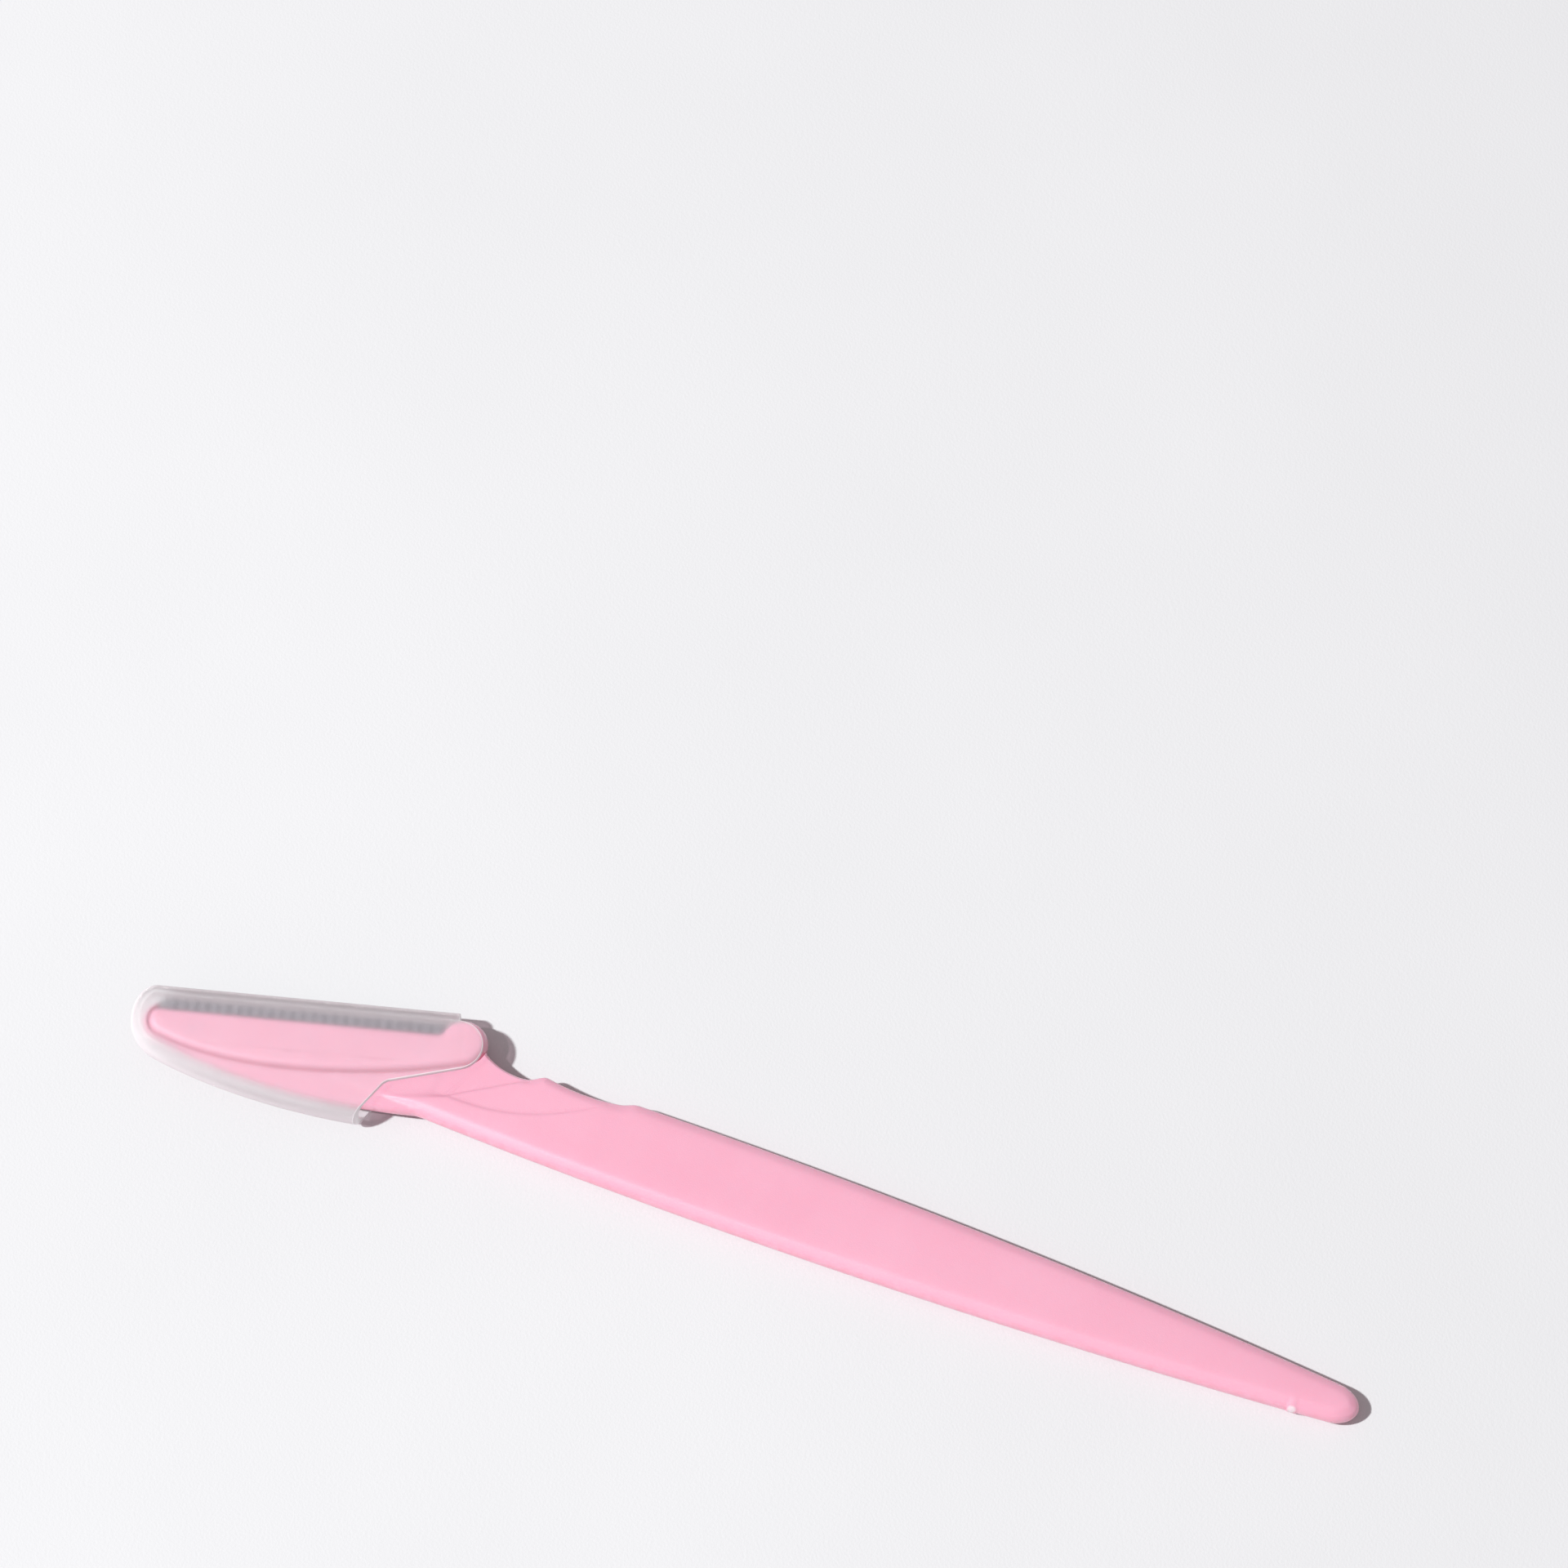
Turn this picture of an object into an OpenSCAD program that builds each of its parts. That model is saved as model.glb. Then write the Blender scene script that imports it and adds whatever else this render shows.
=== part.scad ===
// Eyebrow razor lying flat: a grip with two finger rests, an angled head with a guarded
// blade held in a leaf-shaped pad, and a translucent cap that pulls off along the head.
// X runs from the head to the tail, +Y is the blade's side and +Z is up.

/* [Grip] */
// Length from the first step in the blade-side edge to the end of the tail
grip_l = 105.4; // [90:0.1:120]
// Thickness of the grip, the same as over the pad's two halves
grip_t = 3; // [2.8:0.1:3.6]
// Width of the rounding along the grip's long edges, seen from above
grip_edge = 1.5; // [0.8:0.1:1.8]
// Distance from the first step to the back edge, at the neck
spine_drop = 9.25; // [8.5:0.05:10.5]
// Distance from the first step's line down to the back edge at the tail
tail_drop = 1.85; // [1.2:0.05:3]
// Distance from the first step's line up to the blade-side edge at the tail
tail_rise = 2.35; // [1.2:0.05:3]
// Length of the tail's round end
tail_round_l = 2.9; // [2:0.1:5]
// How far the blade-side edge bows out between the second bump and the tail
grip_bow = 1.2; // [0:0.1:2]

/* [Finger rests] */
// Length of the slope up to the first bump
step_l = 1.7; // [1.2:0.1:2.5]
// Height of the first bump
step_h = 1.2; // [0.8:0.1:1.8]
// Length of the hollow between the two bumps
rest_l = 9.9; // [8:0.1:12]
// Depth of that hollow
rest_sag = 0.45; // [0.2:0.05:0.8]
// Height of the far end of that hollow
rest_end_h = 1.45; // [1.2:0.05:2]
// Length of the slope up to the second bump
bump_l = 1.4; // [1:0.1:2.5]
// Height of the second bump
bump_h = 2.15; // [1.9:0.05:2.8]
// How deep the finger rest's face lies below the grip's face
rest_step = 0.2; // [0.1:0.05:0.4]
// Depth of the neck's hollow
neck_sag = 0.56; // [0.3:0.02:0.8]

/* [Neck and head] */
// Angle between the grip and the blade
head_angle = 17.3; // [15:0.1:20]
// How far ahead of the first step the blade's edge meets the heel
heel_x = 11.1; // [10.6:0.1:12]
// How far the blade's edge at the heel lies above the first step
heel_y = 3.05; // [2.8:0.05:3.4]
// Distance from the first step back to the kink in the back edge
neck_l = 10.5; // [9.5:0.1:11.5]
// Thickness of the neck and the head plate
neck_t = 2; // [1.6:0.1:2.4]
// Length from the heel to the tip of the head plate
head_l = 37.4; // [34.5:0.1:40.5]
// Radius of the head plate's tip
head_tip_r = 2.3; // [2:0.1:2.6]
// How far that tip's centre lies behind the blade's edge
head_tip_in = 3; // [2.8:0.05:3.2]
// Depth of the head plate behind the blade's edge, at the neck
head_w = 11.9; // [11:0.1:12.5]

/* [Pad] */
// Radius of the round heel
heel_r = 2.9; // [2.6:0.05:3.2]
// How far the heel's centre lies beyond the blade's visible end
heel_back = 1.35; // [1.1:0.05:1.6]
// How far the heel's centre lies behind the blade's edge
heel_in = 2.45; // [2.2:0.05:2.6]
// How much of the blade shows beside the pad
blade_show = 1.5; // [1.3:0.05:2]
// Width of the head plate's rim beyond the pad's tip
pad_rim = 0.6; // [0.4:0.05:1]
// Radius of the pad's tip
pad_tip_r = 2; // [1.8:0.1:2.2]
// How far that tip's centre lies behind the blade's edge
pad_tip_in = 3.1; // [2.9:0.05:3.3]
// Width of the rounding along the pad's edges, seen from above
pad_edge = 0.9; // [0.5:0.05:1.2]

/* [Blade and guard] */
// Distance from the blade's end to the tip of the head plate
toe_l = 1.75; // [1.7:0.05:2.5]
// How far the blade goes on under the heel
blade_tuck = 1.2; // [0.8:0.1:1.6]
// Width of the whole blade
blade_w = 5.6; // [5.2:0.1:6.2]
// Length of the slanted cut at the blade's two back corners
corner_l = 4; // [3:0.1:4.2]
// Width of that cut
corner_w = 1.9; // [1.6:0.1:2.4]
// Thickness of the blade
blade_t = 0.25; // [0.2:0.01:0.35]
// Width of the ground edge
grind_w = 0.45; // [0.3:0.05:0.7]
// Thickness left at the very edge
edge_t = 0.03; // [0.02:0.01:0.06]
// Thickness of the guard's sheet
guard_t = 0.1; // [0.08:0.01:0.15]
// Width of one guard rib
rib_w = 0.22; // [0.15:0.01:0.35]
// Distance from one rib to the next
rib_pitch = 1.29; // [1:0.01:1.6]
// Distance from the blade's visible end to the first rib
rib_start = 0.2; // [0.12:0.02:0.6]
// Width of the guard's strips under the pad
strip_w = 0.8; // [0.5:0.05:1]
// How far those strips lie under the pad's edge
strip_in = 0.2; // [0.1:0.05:0.4]

/* [Pins] */
// Number of pins that hold the blade
pin_n = 3; // [2:1:4]
// Radius of a pin
pin_r = 0.7; // [0.5:0.05:0.8]
// Distance from the blade's edge to the pins
pin_in = 4.1; // [3.8:0.1:4.4]
// Distance from the blade's end to the nearest pin, at both ends
pin_margin = 4.6; // [4:0.1:6]
// Height of a pin above the middle of the blade
pin_h = 0.9; // [0.7:0.05:1]

/* [Cap] */
// Thickness of the cap's side walls
cap_wall = 0.85; // [0.7:0.05:1]
// Thickness of the cap's two faces
cap_face = 0.65; // [0.5:0.05:1]
// Space between the pad's face and the cap
cap_face_gap = 0.3; // [0.25:0.05:0.5]
// Space between the guard and the cap
cap_edge_gap = 0.45; // [0.4:0.05:0.7]
// Space between the head plate's back edge and the cap
cap_back_gap = 1.05; // [0.5:0.05:1.3]
// Space between the tips of the head plate and the cap
cap_tip_gap = 0.65; // [0.5:0.05:1.2]
// Radius of the cavity's tip towards the back edge, seen from above
cap_tip_r = 4.65; // [4.2:0.05:4.8]
// Distance from the cavity's blade side in to its foremost point
cap_tip_in = 3.05; // [2.8:0.05:3.3]
// Length of the rounding that joins those two
cap_corner_l = 2.05; // [1.7:0.05:2.5]
// Width of the rounding along the cap's outer edges, seen from above
cap_edge = 1.5; // [1:0.1:1.8]
// Radius of the lobe at the cap's mouth, over the heel
lobe_r = 3.05; // [2.8:0.05:3.2]
// How far the lobe's centre lies beyond the blade's visible end
lobe_back = 0.8; // [0.6:0.05:1]
// How far the lobe's centre lies behind the blade's edge
lobe_in = 3.3; // [3.1:0.05:3.5]
// How far the mouth runs beyond the blade's visible end, beside the blade
mouth_back = 0.4; // [0.2:0.05:0.45]
// Distance from the heel to the kink in the mouth
kink_u = 7.2; // [6.6:0.1:8]
// Distance from the blade's edge down to that kink
kink_in = 8.75; // [8.3:0.05:9.2]
// Length of the bevel across that kink
kink_bevel = 0.35; // [0.2:0.05:0.6]
// Distance from the heel to the mouth's corner at the back edge
mouth_u = 10.75; // [9:0.05:11]

/* [Fits] */
// Clearance round a piece that sits in its seat
seat_gap = 0.05; // [0.02:0.01:0.08]
// Clearance round a pin in the blade
pin_gap = 0.05; // [0.02:0.01:0.08]
// Clearance between the blade and the guard's sheet
guard_gap = 0.02; // [0.01:0.005:0.04]

/* [Gate marks] */
// Length of a broken-off gate's stub
gate_l = 1.3; // [0.8:0.1:2]
// How far a stub stands out
gate_h = 0.18; // [0.1:0.02:0.3]
// Thickness of a stub
gate_t = 0.8; // [0.5:0.1:1.2]
// Distance from the tail's end to the stub on the back edge
gate_from_tail = 7.9; // [6:0.1:12]

/* [Hidden] */

// overrun of every cut, and steps along the curves
over = 1;
edge_steps = 3;
arc_steps = 8;
rest_steps = 8;
grip_steps = 18;
neck_steps = 6;
head_steps = 14;

// Angles at which the round ends of the ladders start, stop and meet other curves
end_angle = 84;
head_join = 65;
heel_join = 105;
toe_angle = 75;
cap_join = 68;
foot_angle = 197;
lobe_angle = 88;
spine_power = 1.87;
pad_power = 1.5;
head_pull_shares = [0.33, 0.26];
head_bow_share = 0.01;
pad_pull_shares = [0.29, 0.3];
fillet_share = 0.12;
nudge_share = 0.01;

half_t = grip_t / 2;
plate_half = neck_t / 2;
cap_in_half = half_t + cap_face_gap;
cap_half = cap_in_half + cap_face;
bump_x = step_l + rest_l + bump_l;
pad_l = head_l - pad_rim;
blade_l = head_l - toe_l;
neck_x = -neck_l;
tip_u = head_l - head_tip_r;
guard_half = blade_t / 2 + guard_gap + guard_t;
edge_v = -(guard_t + guard_gap);
rib_n = floor((blade_l - rib_start - rib_w) / rib_pitch) + 1;

// Where the creases in the faces run, as shares of the neck's length and the back edge's drop
fork_shares = [0.773, 0.655];
crease_shares = [[1.123, 0.811], [1.463, 1.005], [1.883, 1.25]];
crease_pull_shares = [[0.219, 0.649], [-0.308, 0.565]];
crease_start_shares = [0.03, 0.036];
fork = [-fork_shares.x * neck_l, -fork_shares.y * spine_drop];

function lerp(a, b, s) = a + (b - a) * s;
function around(centre, r, angle) = centre + r * [cos(angle), sin(angle)];
function unit(p) = p / norm(p);
function bezier(p, s) =
    pow(1 - s, 3) * p[0] + 3 * s * pow(1 - s, 2) * p[1]
    + 3 * s * s * (1 - s) * p[2] + pow(s, 3) * p[3];
function steps(n, from = 0, to = 1) = [for (i = [0:n]) lerp(from, to, i / n)];
// Height of a quarter round of width e, at distance d from its foot
function swell(d, e) = d >= e ? 1 : sqrt(1 - pow(1 - d / e, 2));
// From the head's own axes (u to the tip, v to the blade's side) to the part's
function place(p) =
    [-heel_x - p.x * cos(head_angle) - p.y * sin(head_angle),
     heel_y - p.x * sin(head_angle) + p.y * cos(head_angle)];

// Edges of the grip at x, before the tail's round end
function spine_edge(x) =
    -spine_drop + (spine_drop - tail_drop)
    * pow((x - neck_x) / (grip_l - neck_x), spine_power);
function bowed(x, x0, y0, x1, y1, bow) =
    let (s = (x - x0) / (x1 - x0)) lerp(y0, y1, s) + 4 * bow * s * (1 - s);
function blade_edge(x) =
    x <= step_l ? step_h * x / step_l
    : x <= step_l + rest_l ? bowed(x, step_l, step_h, step_l + rest_l, rest_end_h, -rest_sag)
    : x <= bump_x ? bowed(x, step_l + rest_l, rest_end_h, bump_x, bump_h, 0)
    : bowed(x, bump_x, bump_h, grip_l, tail_rise, grip_bow);
// The neck's hollow from the first step to the heel
heel_foot = place(around([-heel_back, -heel_in], heel_r, foot_angle));
function neck_edge(s) =
    let (side = unit(heel_foot))
    s * heel_foot + [side.y, -side.x] * -4 * neck_sag * s * (1 - s);

// A rung is [back-edge point, blade-side point, half thickness]; a ladder of rungs makes a solid
function grip_rung(x) =
    let (s = max(0, (x - grip_l + tail_round_l) / tail_round_l),
         mid = (spine_edge(x) + blade_edge(x)) / 2,
         half = (blade_edge(x) - spine_edge(x)) / 2 * sqrt(1 - s * s))
    [[x, mid - half], [x, mid + half], half_t * swell(grip_l - x, grip_edge)];
tail_xs = [for (a = steps(arc_steps, end_angle, 0)) grip_l - tail_round_l * (1 - sin(a))];
grip_xs = [for (s = steps(grip_steps, 1, 0)) lerp(bump_x, grip_l - tail_round_l, s)];
rest_xs = [for (s = steps(rest_steps, 1, 0)) step_l + rest_l * s];
function without_last(list) = [for (i = [0:len(list) - 2]) list[i]];
grip_rungs = [for (x = concat(without_last(tail_xs), grip_xs, rest_xs, [0])) grip_rung(x)];
neck_rungs = [for (s = steps(neck_steps)) if (s > 0)
    [[neck_x * s, spine_edge(neck_x * s)], neck_edge(s), half_t]];

// The head plate, with g added all round
plate_curve = let (
    start = [(neck_l - heel_x) * cos(head_angle) + (spine_drop + heel_y) * sin(head_angle),
             -head_w],
    end = around([tip_u, -head_tip_in], head_tip_r, -head_join),
    along = [sin(head_join), cos(head_join)] * head_l * head_pull_shares[1])
    [start, start + [head_l * head_pull_shares[0], -head_w * head_bow_share], end - along, end];
function plate_back(s, g) =
    let (p = bezier(plate_curve, s),
         side = s < 0.5 ? 1 : -1,
         q = bezier(plate_curve, s + side * nudge_share),
         dir = unit((q - p) * side))
    p + g * [dir.y, -dir.x];
head_straight = [for (s = steps(head_steps)) lerp(blade_show, blade_l + seat_gap, s)];
head_rungs = concat(
    [for (i = [0:head_steps])
        [place(plate_back(i / head_steps, 0)), place([head_straight[i], -blade_show]), half_t]],
    [for (s = steps(arc_steps)) if (s > 0)
        let (low = -lerp(head_join, 90 - end_angle, s),
             high = lerp(toe_angle, 90 - end_angle, s),
             a = around([tip_u, -head_tip_in], head_tip_r, low),
             b = around([tip_u, -head_tip_in], head_tip_r, high))
        [place(a), place(b), half_t * swell(head_l - (a.x + b.x) / 2, grip_edge)]]);

// The pad, with g added all round
pad_tip = [pad_l - pad_tip_r, -pad_tip_in];
pad_tip_angle = asin((pad_tip_in - blade_show) / pad_tip_r);
heel_c = [-heel_back, -heel_in];
function pad_side(u, g) =
    let (w = heel_r + g,
         bulge = abs(u - heel_c.x) < w ? heel_c.y + sqrt(w * w - pow(u - heel_c.x, 2)) : -heel_in * 2,
         flat = -blade_show + g,
         soft = heel_r * fillet_share)
    (bulge + flat + sqrt(pow(bulge - flat, 2) + soft * soft)) / 2;
function pad_back(s, g) =
    let (p0 = around(heel_c, heel_r + g, -heel_join),
         end = around(pad_tip, pad_tip_r + g, -head_join),
         leave = [sin(heel_join), cos(heel_join)] * pad_l * pad_pull_shares[0],
         along = [sin(head_join), cos(head_join)] * pad_l * pad_pull_shares[1])
    bezier([p0, p0 + leave, end - along, end], s);
function pad_rungs(g, edge) = concat(
    [for (a = steps(arc_steps, 180 + 90 - end_angle, 360 - heel_join))
        let (p = around(heel_c, heel_r + g, a), q = around(heel_c, heel_r + g, 360 - a))
        [place(p), place(q), half_t * swell(heel_r + g + p.x - heel_c.x, edge)]],
    [for (step = steps(2 * head_steps)) if (step > 0)
        let (s = pow(step, pad_power),
             u = lerp(heel_c.x + heel_r * cos(heel_join), pad_tip.x + pad_tip_r * cos(pad_tip_angle), s))
        [place(pad_back(s, g)), place([u, pad_side(u, g)]), half_t]],
    [for (s = steps(arc_steps)) if (s > 0)
        let (p = around(pad_tip, pad_tip_r + g, -lerp(head_join, 90 - end_angle, s)),
             q = around(pad_tip, pad_tip_r + g, lerp(pad_tip_angle, 90 - end_angle, s)))
        [place(p), place(q), half_t * swell(pad_l + g - (p.x + q.x) / 2, edge)]]);

// The cap's cavity, with g added all round; it runs out past the mouth
function cap_back(s, g) = plate_back(s, cap_back_gap + g);
cap_tip_u = head_l + cap_tip_gap - cap_tip_r;
cap_tip_v = cap_edge_gap - cap_tip_in;
cap_corner_u = head_l + cap_tip_gap - cap_corner_l;
function cap_rungs(g, half, edge) =
    let (mouth = -heel_back - heel_r - lobe_r,
         r = cap_tip_r + g,
         c = [cap_tip_u, cap_tip_v],
         first = cap_back(0, g),
         join = -cap_join)
    concat(
        [[place([mouth + over, first.y]), place([mouth, cap_edge_gap + g]), half]],
        [for (i = [0:head_steps])
            let (s = i / head_steps,
                 p = cap_back(s, g),
                 q = around(c, r, join),
                 eased = p + (q - cap_back(1, g)) * pow(s, 3))
            [place(eased), place([lerp(first.x, cap_corner_u, s), cap_edge_gap + g]), half]],
        [for (s = steps(arc_steps)) if (s > 0)
            let (p = around(c, r, lerp(join, end_angle - 90, s)),
                 a = lerp(90, 90 - end_angle, s),
                 q = [cap_corner_u + (cap_corner_l + g) * cos(a), c.y + (cap_tip_in + g) * sin(a)])
            [place(p), place(q), half * swell(c.x + r - (p.x + q.x) / 2, edge)]]);

// The line of the cap's mouth, closed round its tip end
lobe_c = [-lobe_back, -lobe_in];
mouth_in = around(lobe_c, lobe_r, -heel_join);
kink = [kink_u, -kink_in];
mouth_out = [mouth_u, -head_w - cap_wall - cap_back_gap];
mouth_line = concat(
    [[2 * head_l, cap_wall + cap_edge_gap + over],
     [-mouth_back, cap_wall + cap_edge_gap + over]],
    [for (a = steps(2 * arc_steps, lobe_angle, 360 - heel_join)) around(lobe_c, lobe_r, a)],
    [kink - kink_bevel * unit(kink - mouth_in),
     kink + kink_bevel * unit(mouth_out - kink),
     mouth_out + over * unit(mouth_out - kink),
     [2 * head_l, mouth_out.y - over]]);

// Middle of the whole, so that the origin is below the centre of its box
cap_points = [for (r = cap_rungs(cap_wall, cap_half, cap_edge)) each [r[0], r[1]]];
cap_xs = [for (p = cap_points) p.x];
cap_ys = [for (p = cap_points) p.y];
mouth_top = place([-mouth_back, cap_wall + cap_edge_gap]);
middle = [(min(cap_xs) + tail_xs[0]) / 2, (mouth_top.y + min(cap_ys)) / 2];

// Solid through a ladder of rungs, with rounded edges of the given width
module ladder(rungs, edge) {
    angles = steps(2 * edge_steps, -90, 90);
    count = 2 * len(angles);
    points = [for (r = rungs)
        let (mid = (r[0] + r[1]) / 2,
             half = norm(r[1] - r[0]) / 2,
             side = unit(r[1] - r[0]),
             round = min(edge, half))
        each concat(
            [for (a = angles)
                let (p = mid + side * (half - round * (1 - cos(a)))) [p.x, p.y, r[2] * sin(a)]],
            [for (a = angles)
                let (p = mid - side * (half - round * (1 - cos(a)))) [p.x, p.y, -r[2] * sin(a)]])];
    last = (len(rungs) - 1) * count;
    faces = concat(
        [[for (i = [count - 1:-1:0]) i]],
        [[for (i = [0:count - 1]) last + i]],
        [for (j = [0:len(rungs) - 2], i = [0:count - 1])
            let (a = j * count + i, b = j * count + (i + 1) % count)
            each [[a, b, a + count], [b, b + count, a + count]]]);
    polyhedron(points, faces);
}

module outline_block(rungs, z0, z1) {
    translate([0, 0, z0])
        linear_extrude(z1 - z0)
            polygon([for (r = rungs) r[0], for (i = [len(rungs) - 1:-1:0]) rungs[i][1]]);
}

// Stands the part on its lowest surface, with the blade's plane half a cap up
module stand() {
    translate([-middle.x, -middle.y, cap_half]) children();
}

// From the head's own axes to the part's
module on_head() {
    translate([-heel_x, heel_y, 0]) rotate(head_angle) mirror([1, 0, 0]) children();
}

module both_faces() {
    children();
    mirror([0, 0, 1]) children();
}

// Where the face drops to the neck and the head plate
module neck_cut() {
    points = concat(
        [[crease_start_shares.x * neck_l, -crease_start_shares.y * spine_drop], fork],
        [for (s = crease_shares) [-s.x * neck_l, -s.y * spine_drop]],
        [[-heel_x - head_l - over, -2 * spine_drop], [-heel_x - head_l - over, heel_y + heel_r],
         [0, heel_y + heel_r]]);
    translate([0, 0, plate_half]) linear_extrude(half_t - plate_half + over) polygon(points);
}

// Where the face drops a little to the second finger rest
module rest_cut() {
    c = [step_l + rest_l, rest_end_h];
    curve = [fork,
             [-crease_pull_shares[0].x * neck_l, -crease_pull_shares[0].y * spine_drop],
             [-crease_pull_shares[1].x * neck_l, -crease_pull_shares[1].y * spine_drop],
             c];
    points = concat(
        [for (s = steps(arc_steps)) bezier(curve, s)],
        [[c.x, c.y + over], [0, c.y + over], [-over, 0]]);
    translate([0, 0, half_t - rest_step]) linear_extrude(rest_step + over) polygon(points);
}

// The blade from above, with g added all round
module blade_plan(g) {
    polygon([[-blade_tuck - g, g], [blade_l + g, g],
             [blade_l + g, corner_w - blade_w], [blade_l + g - corner_l, -blade_w - g],
             [corner_l - blade_tuck - g, -blade_w - g], [-blade_tuck - g, corner_w - blade_w]]);
}

// Room for the blade and the guard's strips, on both sides of the blade's plane
module blade_room() {
    guard_in = blade_show + strip_in + strip_w + seat_gap;
    depth = blade_t / 2 + seat_gap;
    translate([0, 0, -depth]) linear_extrude(2 * depth) blade_plan(seat_gap);
    translate([-seat_gap, -guard_in, -guard_half - seat_gap])
        cube([blade_l + 2 * seat_gap, guard_in + seat_gap, 2 * (guard_half + seat_gap)]);
}

module pin_places() {
    run = blade_l + blade_tuck - 2 * pin_margin;
    for (i = [0:pin_n - 1])
        translate([pin_margin - blade_tuck + run * i / (pin_n - 1), -pin_in, 0]) children();
}

module handle() {
    color("#fbaec6") stand() {
        difference() {
            union() {
                difference() {
                    ladder(concat(grip_rungs, neck_rungs, head_rungs), grip_edge);
                    both_faces() neck_cut();
                    both_faces() rest_cut();
                    outline_block(pad_rungs(seat_gap, pad_edge), 0, half_t + over);
                }
                intersection() {
                    ladder(pad_rungs(0, pad_edge), pad_edge);
                    outline_block(pad_rungs(over, pad_edge), -half_t - over, 0);
                }
            }
            on_head() blade_room();
        }
        on_head() pin_places()
            translate([0, 0, -plate_half]) cylinder(r = pin_r, h = plate_half + pin_h, $fn = 32);
        translate([grip_l - gate_from_tail, spine_edge(grip_l - gate_from_tail) - gate_h, -gate_t / 2])
            cube([gate_l, gate_h + over, gate_t]);
    }
}

module blade_clamp() {
    color("#fbaec6") stand() {
        difference() {
            intersection() {
                ladder(pad_rungs(0, pad_edge), pad_edge);
                outline_block(pad_rungs(over, pad_edge), 0, half_t + over);
            }
            on_head() blade_room();
            on_head() pin_places()
                translate([0, 0, -over])
                    cylinder(r = pin_r + pin_gap, h = pin_h + over + seat_gap, $fn = 32);
        }
    }
}

module blade() {
    shoulder = edge_v - grind_w;
    color("#8f989a") stand() on_head() difference() {
        intersection() {
            translate([-blade_tuck, 0, 0])
                rotate([90, 0, 90])
                    linear_extrude(blade_l + blade_tuck)
                        polygon([[edge_v, -edge_t / 2], [edge_v, edge_t / 2],
                                 [shoulder, blade_t / 2], [-blade_w, blade_t / 2],
                                 [-blade_w, -blade_t / 2], [shoulder, -blade_t / 2]]);
            translate([0, 0, -blade_t]) linear_extrude(2 * blade_t) blade_plan(0);
        }
        pin_places()
            translate([0, 0, -blade_t]) cylinder(r = pin_r + pin_gap, h = 2 * blade_t, $fn = 32);
    }
}

module guard_rib() {
    reach = blade_show + strip_in + strip_w;
    inner = guard_half - guard_t;
    rotate([90, 0, 90]) linear_extrude(rib_w) difference() {
        union() {
            translate([-guard_half, 0]) circle(guard_half, $fn = 32);
            translate([-reach, -guard_half]) square([reach - guard_half, 2 * guard_half]);
        }
        translate([-guard_half, 0]) circle(inner, $fn = 32);
        translate([-reach - over, -inner]) square([reach + over - guard_half, 2 * inner]);
    }
}

module guard() {
    color("#2b2c30") stand() on_head() union() {
        for (i = [0:rib_n - 1]) translate([rib_start + i * rib_pitch, 0, 0]) guard_rib();
        both_faces()
            translate([rib_start, -blade_show - strip_in - strip_w, guard_half - guard_t])
                cube([(rib_n - 1) * rib_pitch + rib_w, strip_w, guard_t]);
    }
}

module cap() {
    color("#e9e4e8", 0.45) stand() difference() {
        intersection() {
            ladder(cap_rungs(cap_wall, cap_half, cap_edge), cap_edge);
            translate([0, 0, -cap_half - over])
                linear_extrude(2 * (cap_half + over))
                    polygon([for (p = mouth_line) place(p)]);
        }
        ladder(cap_rungs(0, cap_in_half, pad_edge), pad_edge);
    }
}

handle();
blade_clamp();
blade();
guard();
cap();
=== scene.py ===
# %% [markdown]
# # An eyebrow razor with its cap on
# A disposable razor of this kind is a flat pink moulding with finger rests, a steel blade
# with a dark comb folded over its edge, a leaf-shaped clamp that holds the blade down, and
# a frosted cap. The whole thing is a plate a few millimetres thick, so most of this lesson
# is about one idea: draw the plan of a piece, cover it with a net of triangles, and lift
# the net to a height map on each face. The CAD model gives the frame that all pieces share.

import math

import bmesh
import bpy
import numpy as np
from mathutils import Matrix, Vector
from mathutils.geometry import delaunay_2d_cdt
from mathutils.kdtree import KDTree


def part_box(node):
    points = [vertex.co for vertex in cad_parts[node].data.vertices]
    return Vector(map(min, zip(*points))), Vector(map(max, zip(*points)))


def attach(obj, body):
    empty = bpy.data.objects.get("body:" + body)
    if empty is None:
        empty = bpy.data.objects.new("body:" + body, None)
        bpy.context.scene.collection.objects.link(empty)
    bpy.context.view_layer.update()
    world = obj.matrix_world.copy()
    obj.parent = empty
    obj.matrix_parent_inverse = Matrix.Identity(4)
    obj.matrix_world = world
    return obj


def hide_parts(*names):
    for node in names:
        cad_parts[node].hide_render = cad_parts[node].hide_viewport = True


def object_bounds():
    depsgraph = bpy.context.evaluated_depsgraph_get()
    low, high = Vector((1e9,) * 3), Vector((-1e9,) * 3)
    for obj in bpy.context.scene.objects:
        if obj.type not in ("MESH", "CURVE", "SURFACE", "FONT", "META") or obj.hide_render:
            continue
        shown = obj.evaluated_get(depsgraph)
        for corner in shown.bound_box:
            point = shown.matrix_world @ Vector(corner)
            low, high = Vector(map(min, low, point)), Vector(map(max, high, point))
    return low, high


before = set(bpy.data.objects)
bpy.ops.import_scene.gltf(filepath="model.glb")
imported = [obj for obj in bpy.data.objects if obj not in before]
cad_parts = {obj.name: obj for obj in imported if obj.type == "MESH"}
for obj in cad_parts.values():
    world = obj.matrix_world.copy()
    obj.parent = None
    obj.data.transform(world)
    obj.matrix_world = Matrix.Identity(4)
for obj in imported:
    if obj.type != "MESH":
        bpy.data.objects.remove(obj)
cad_low, cad_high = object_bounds()
print("CAD box in mm:", [round(v * 1000, 2) for v in (*cad_low, *cad_high)])

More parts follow.
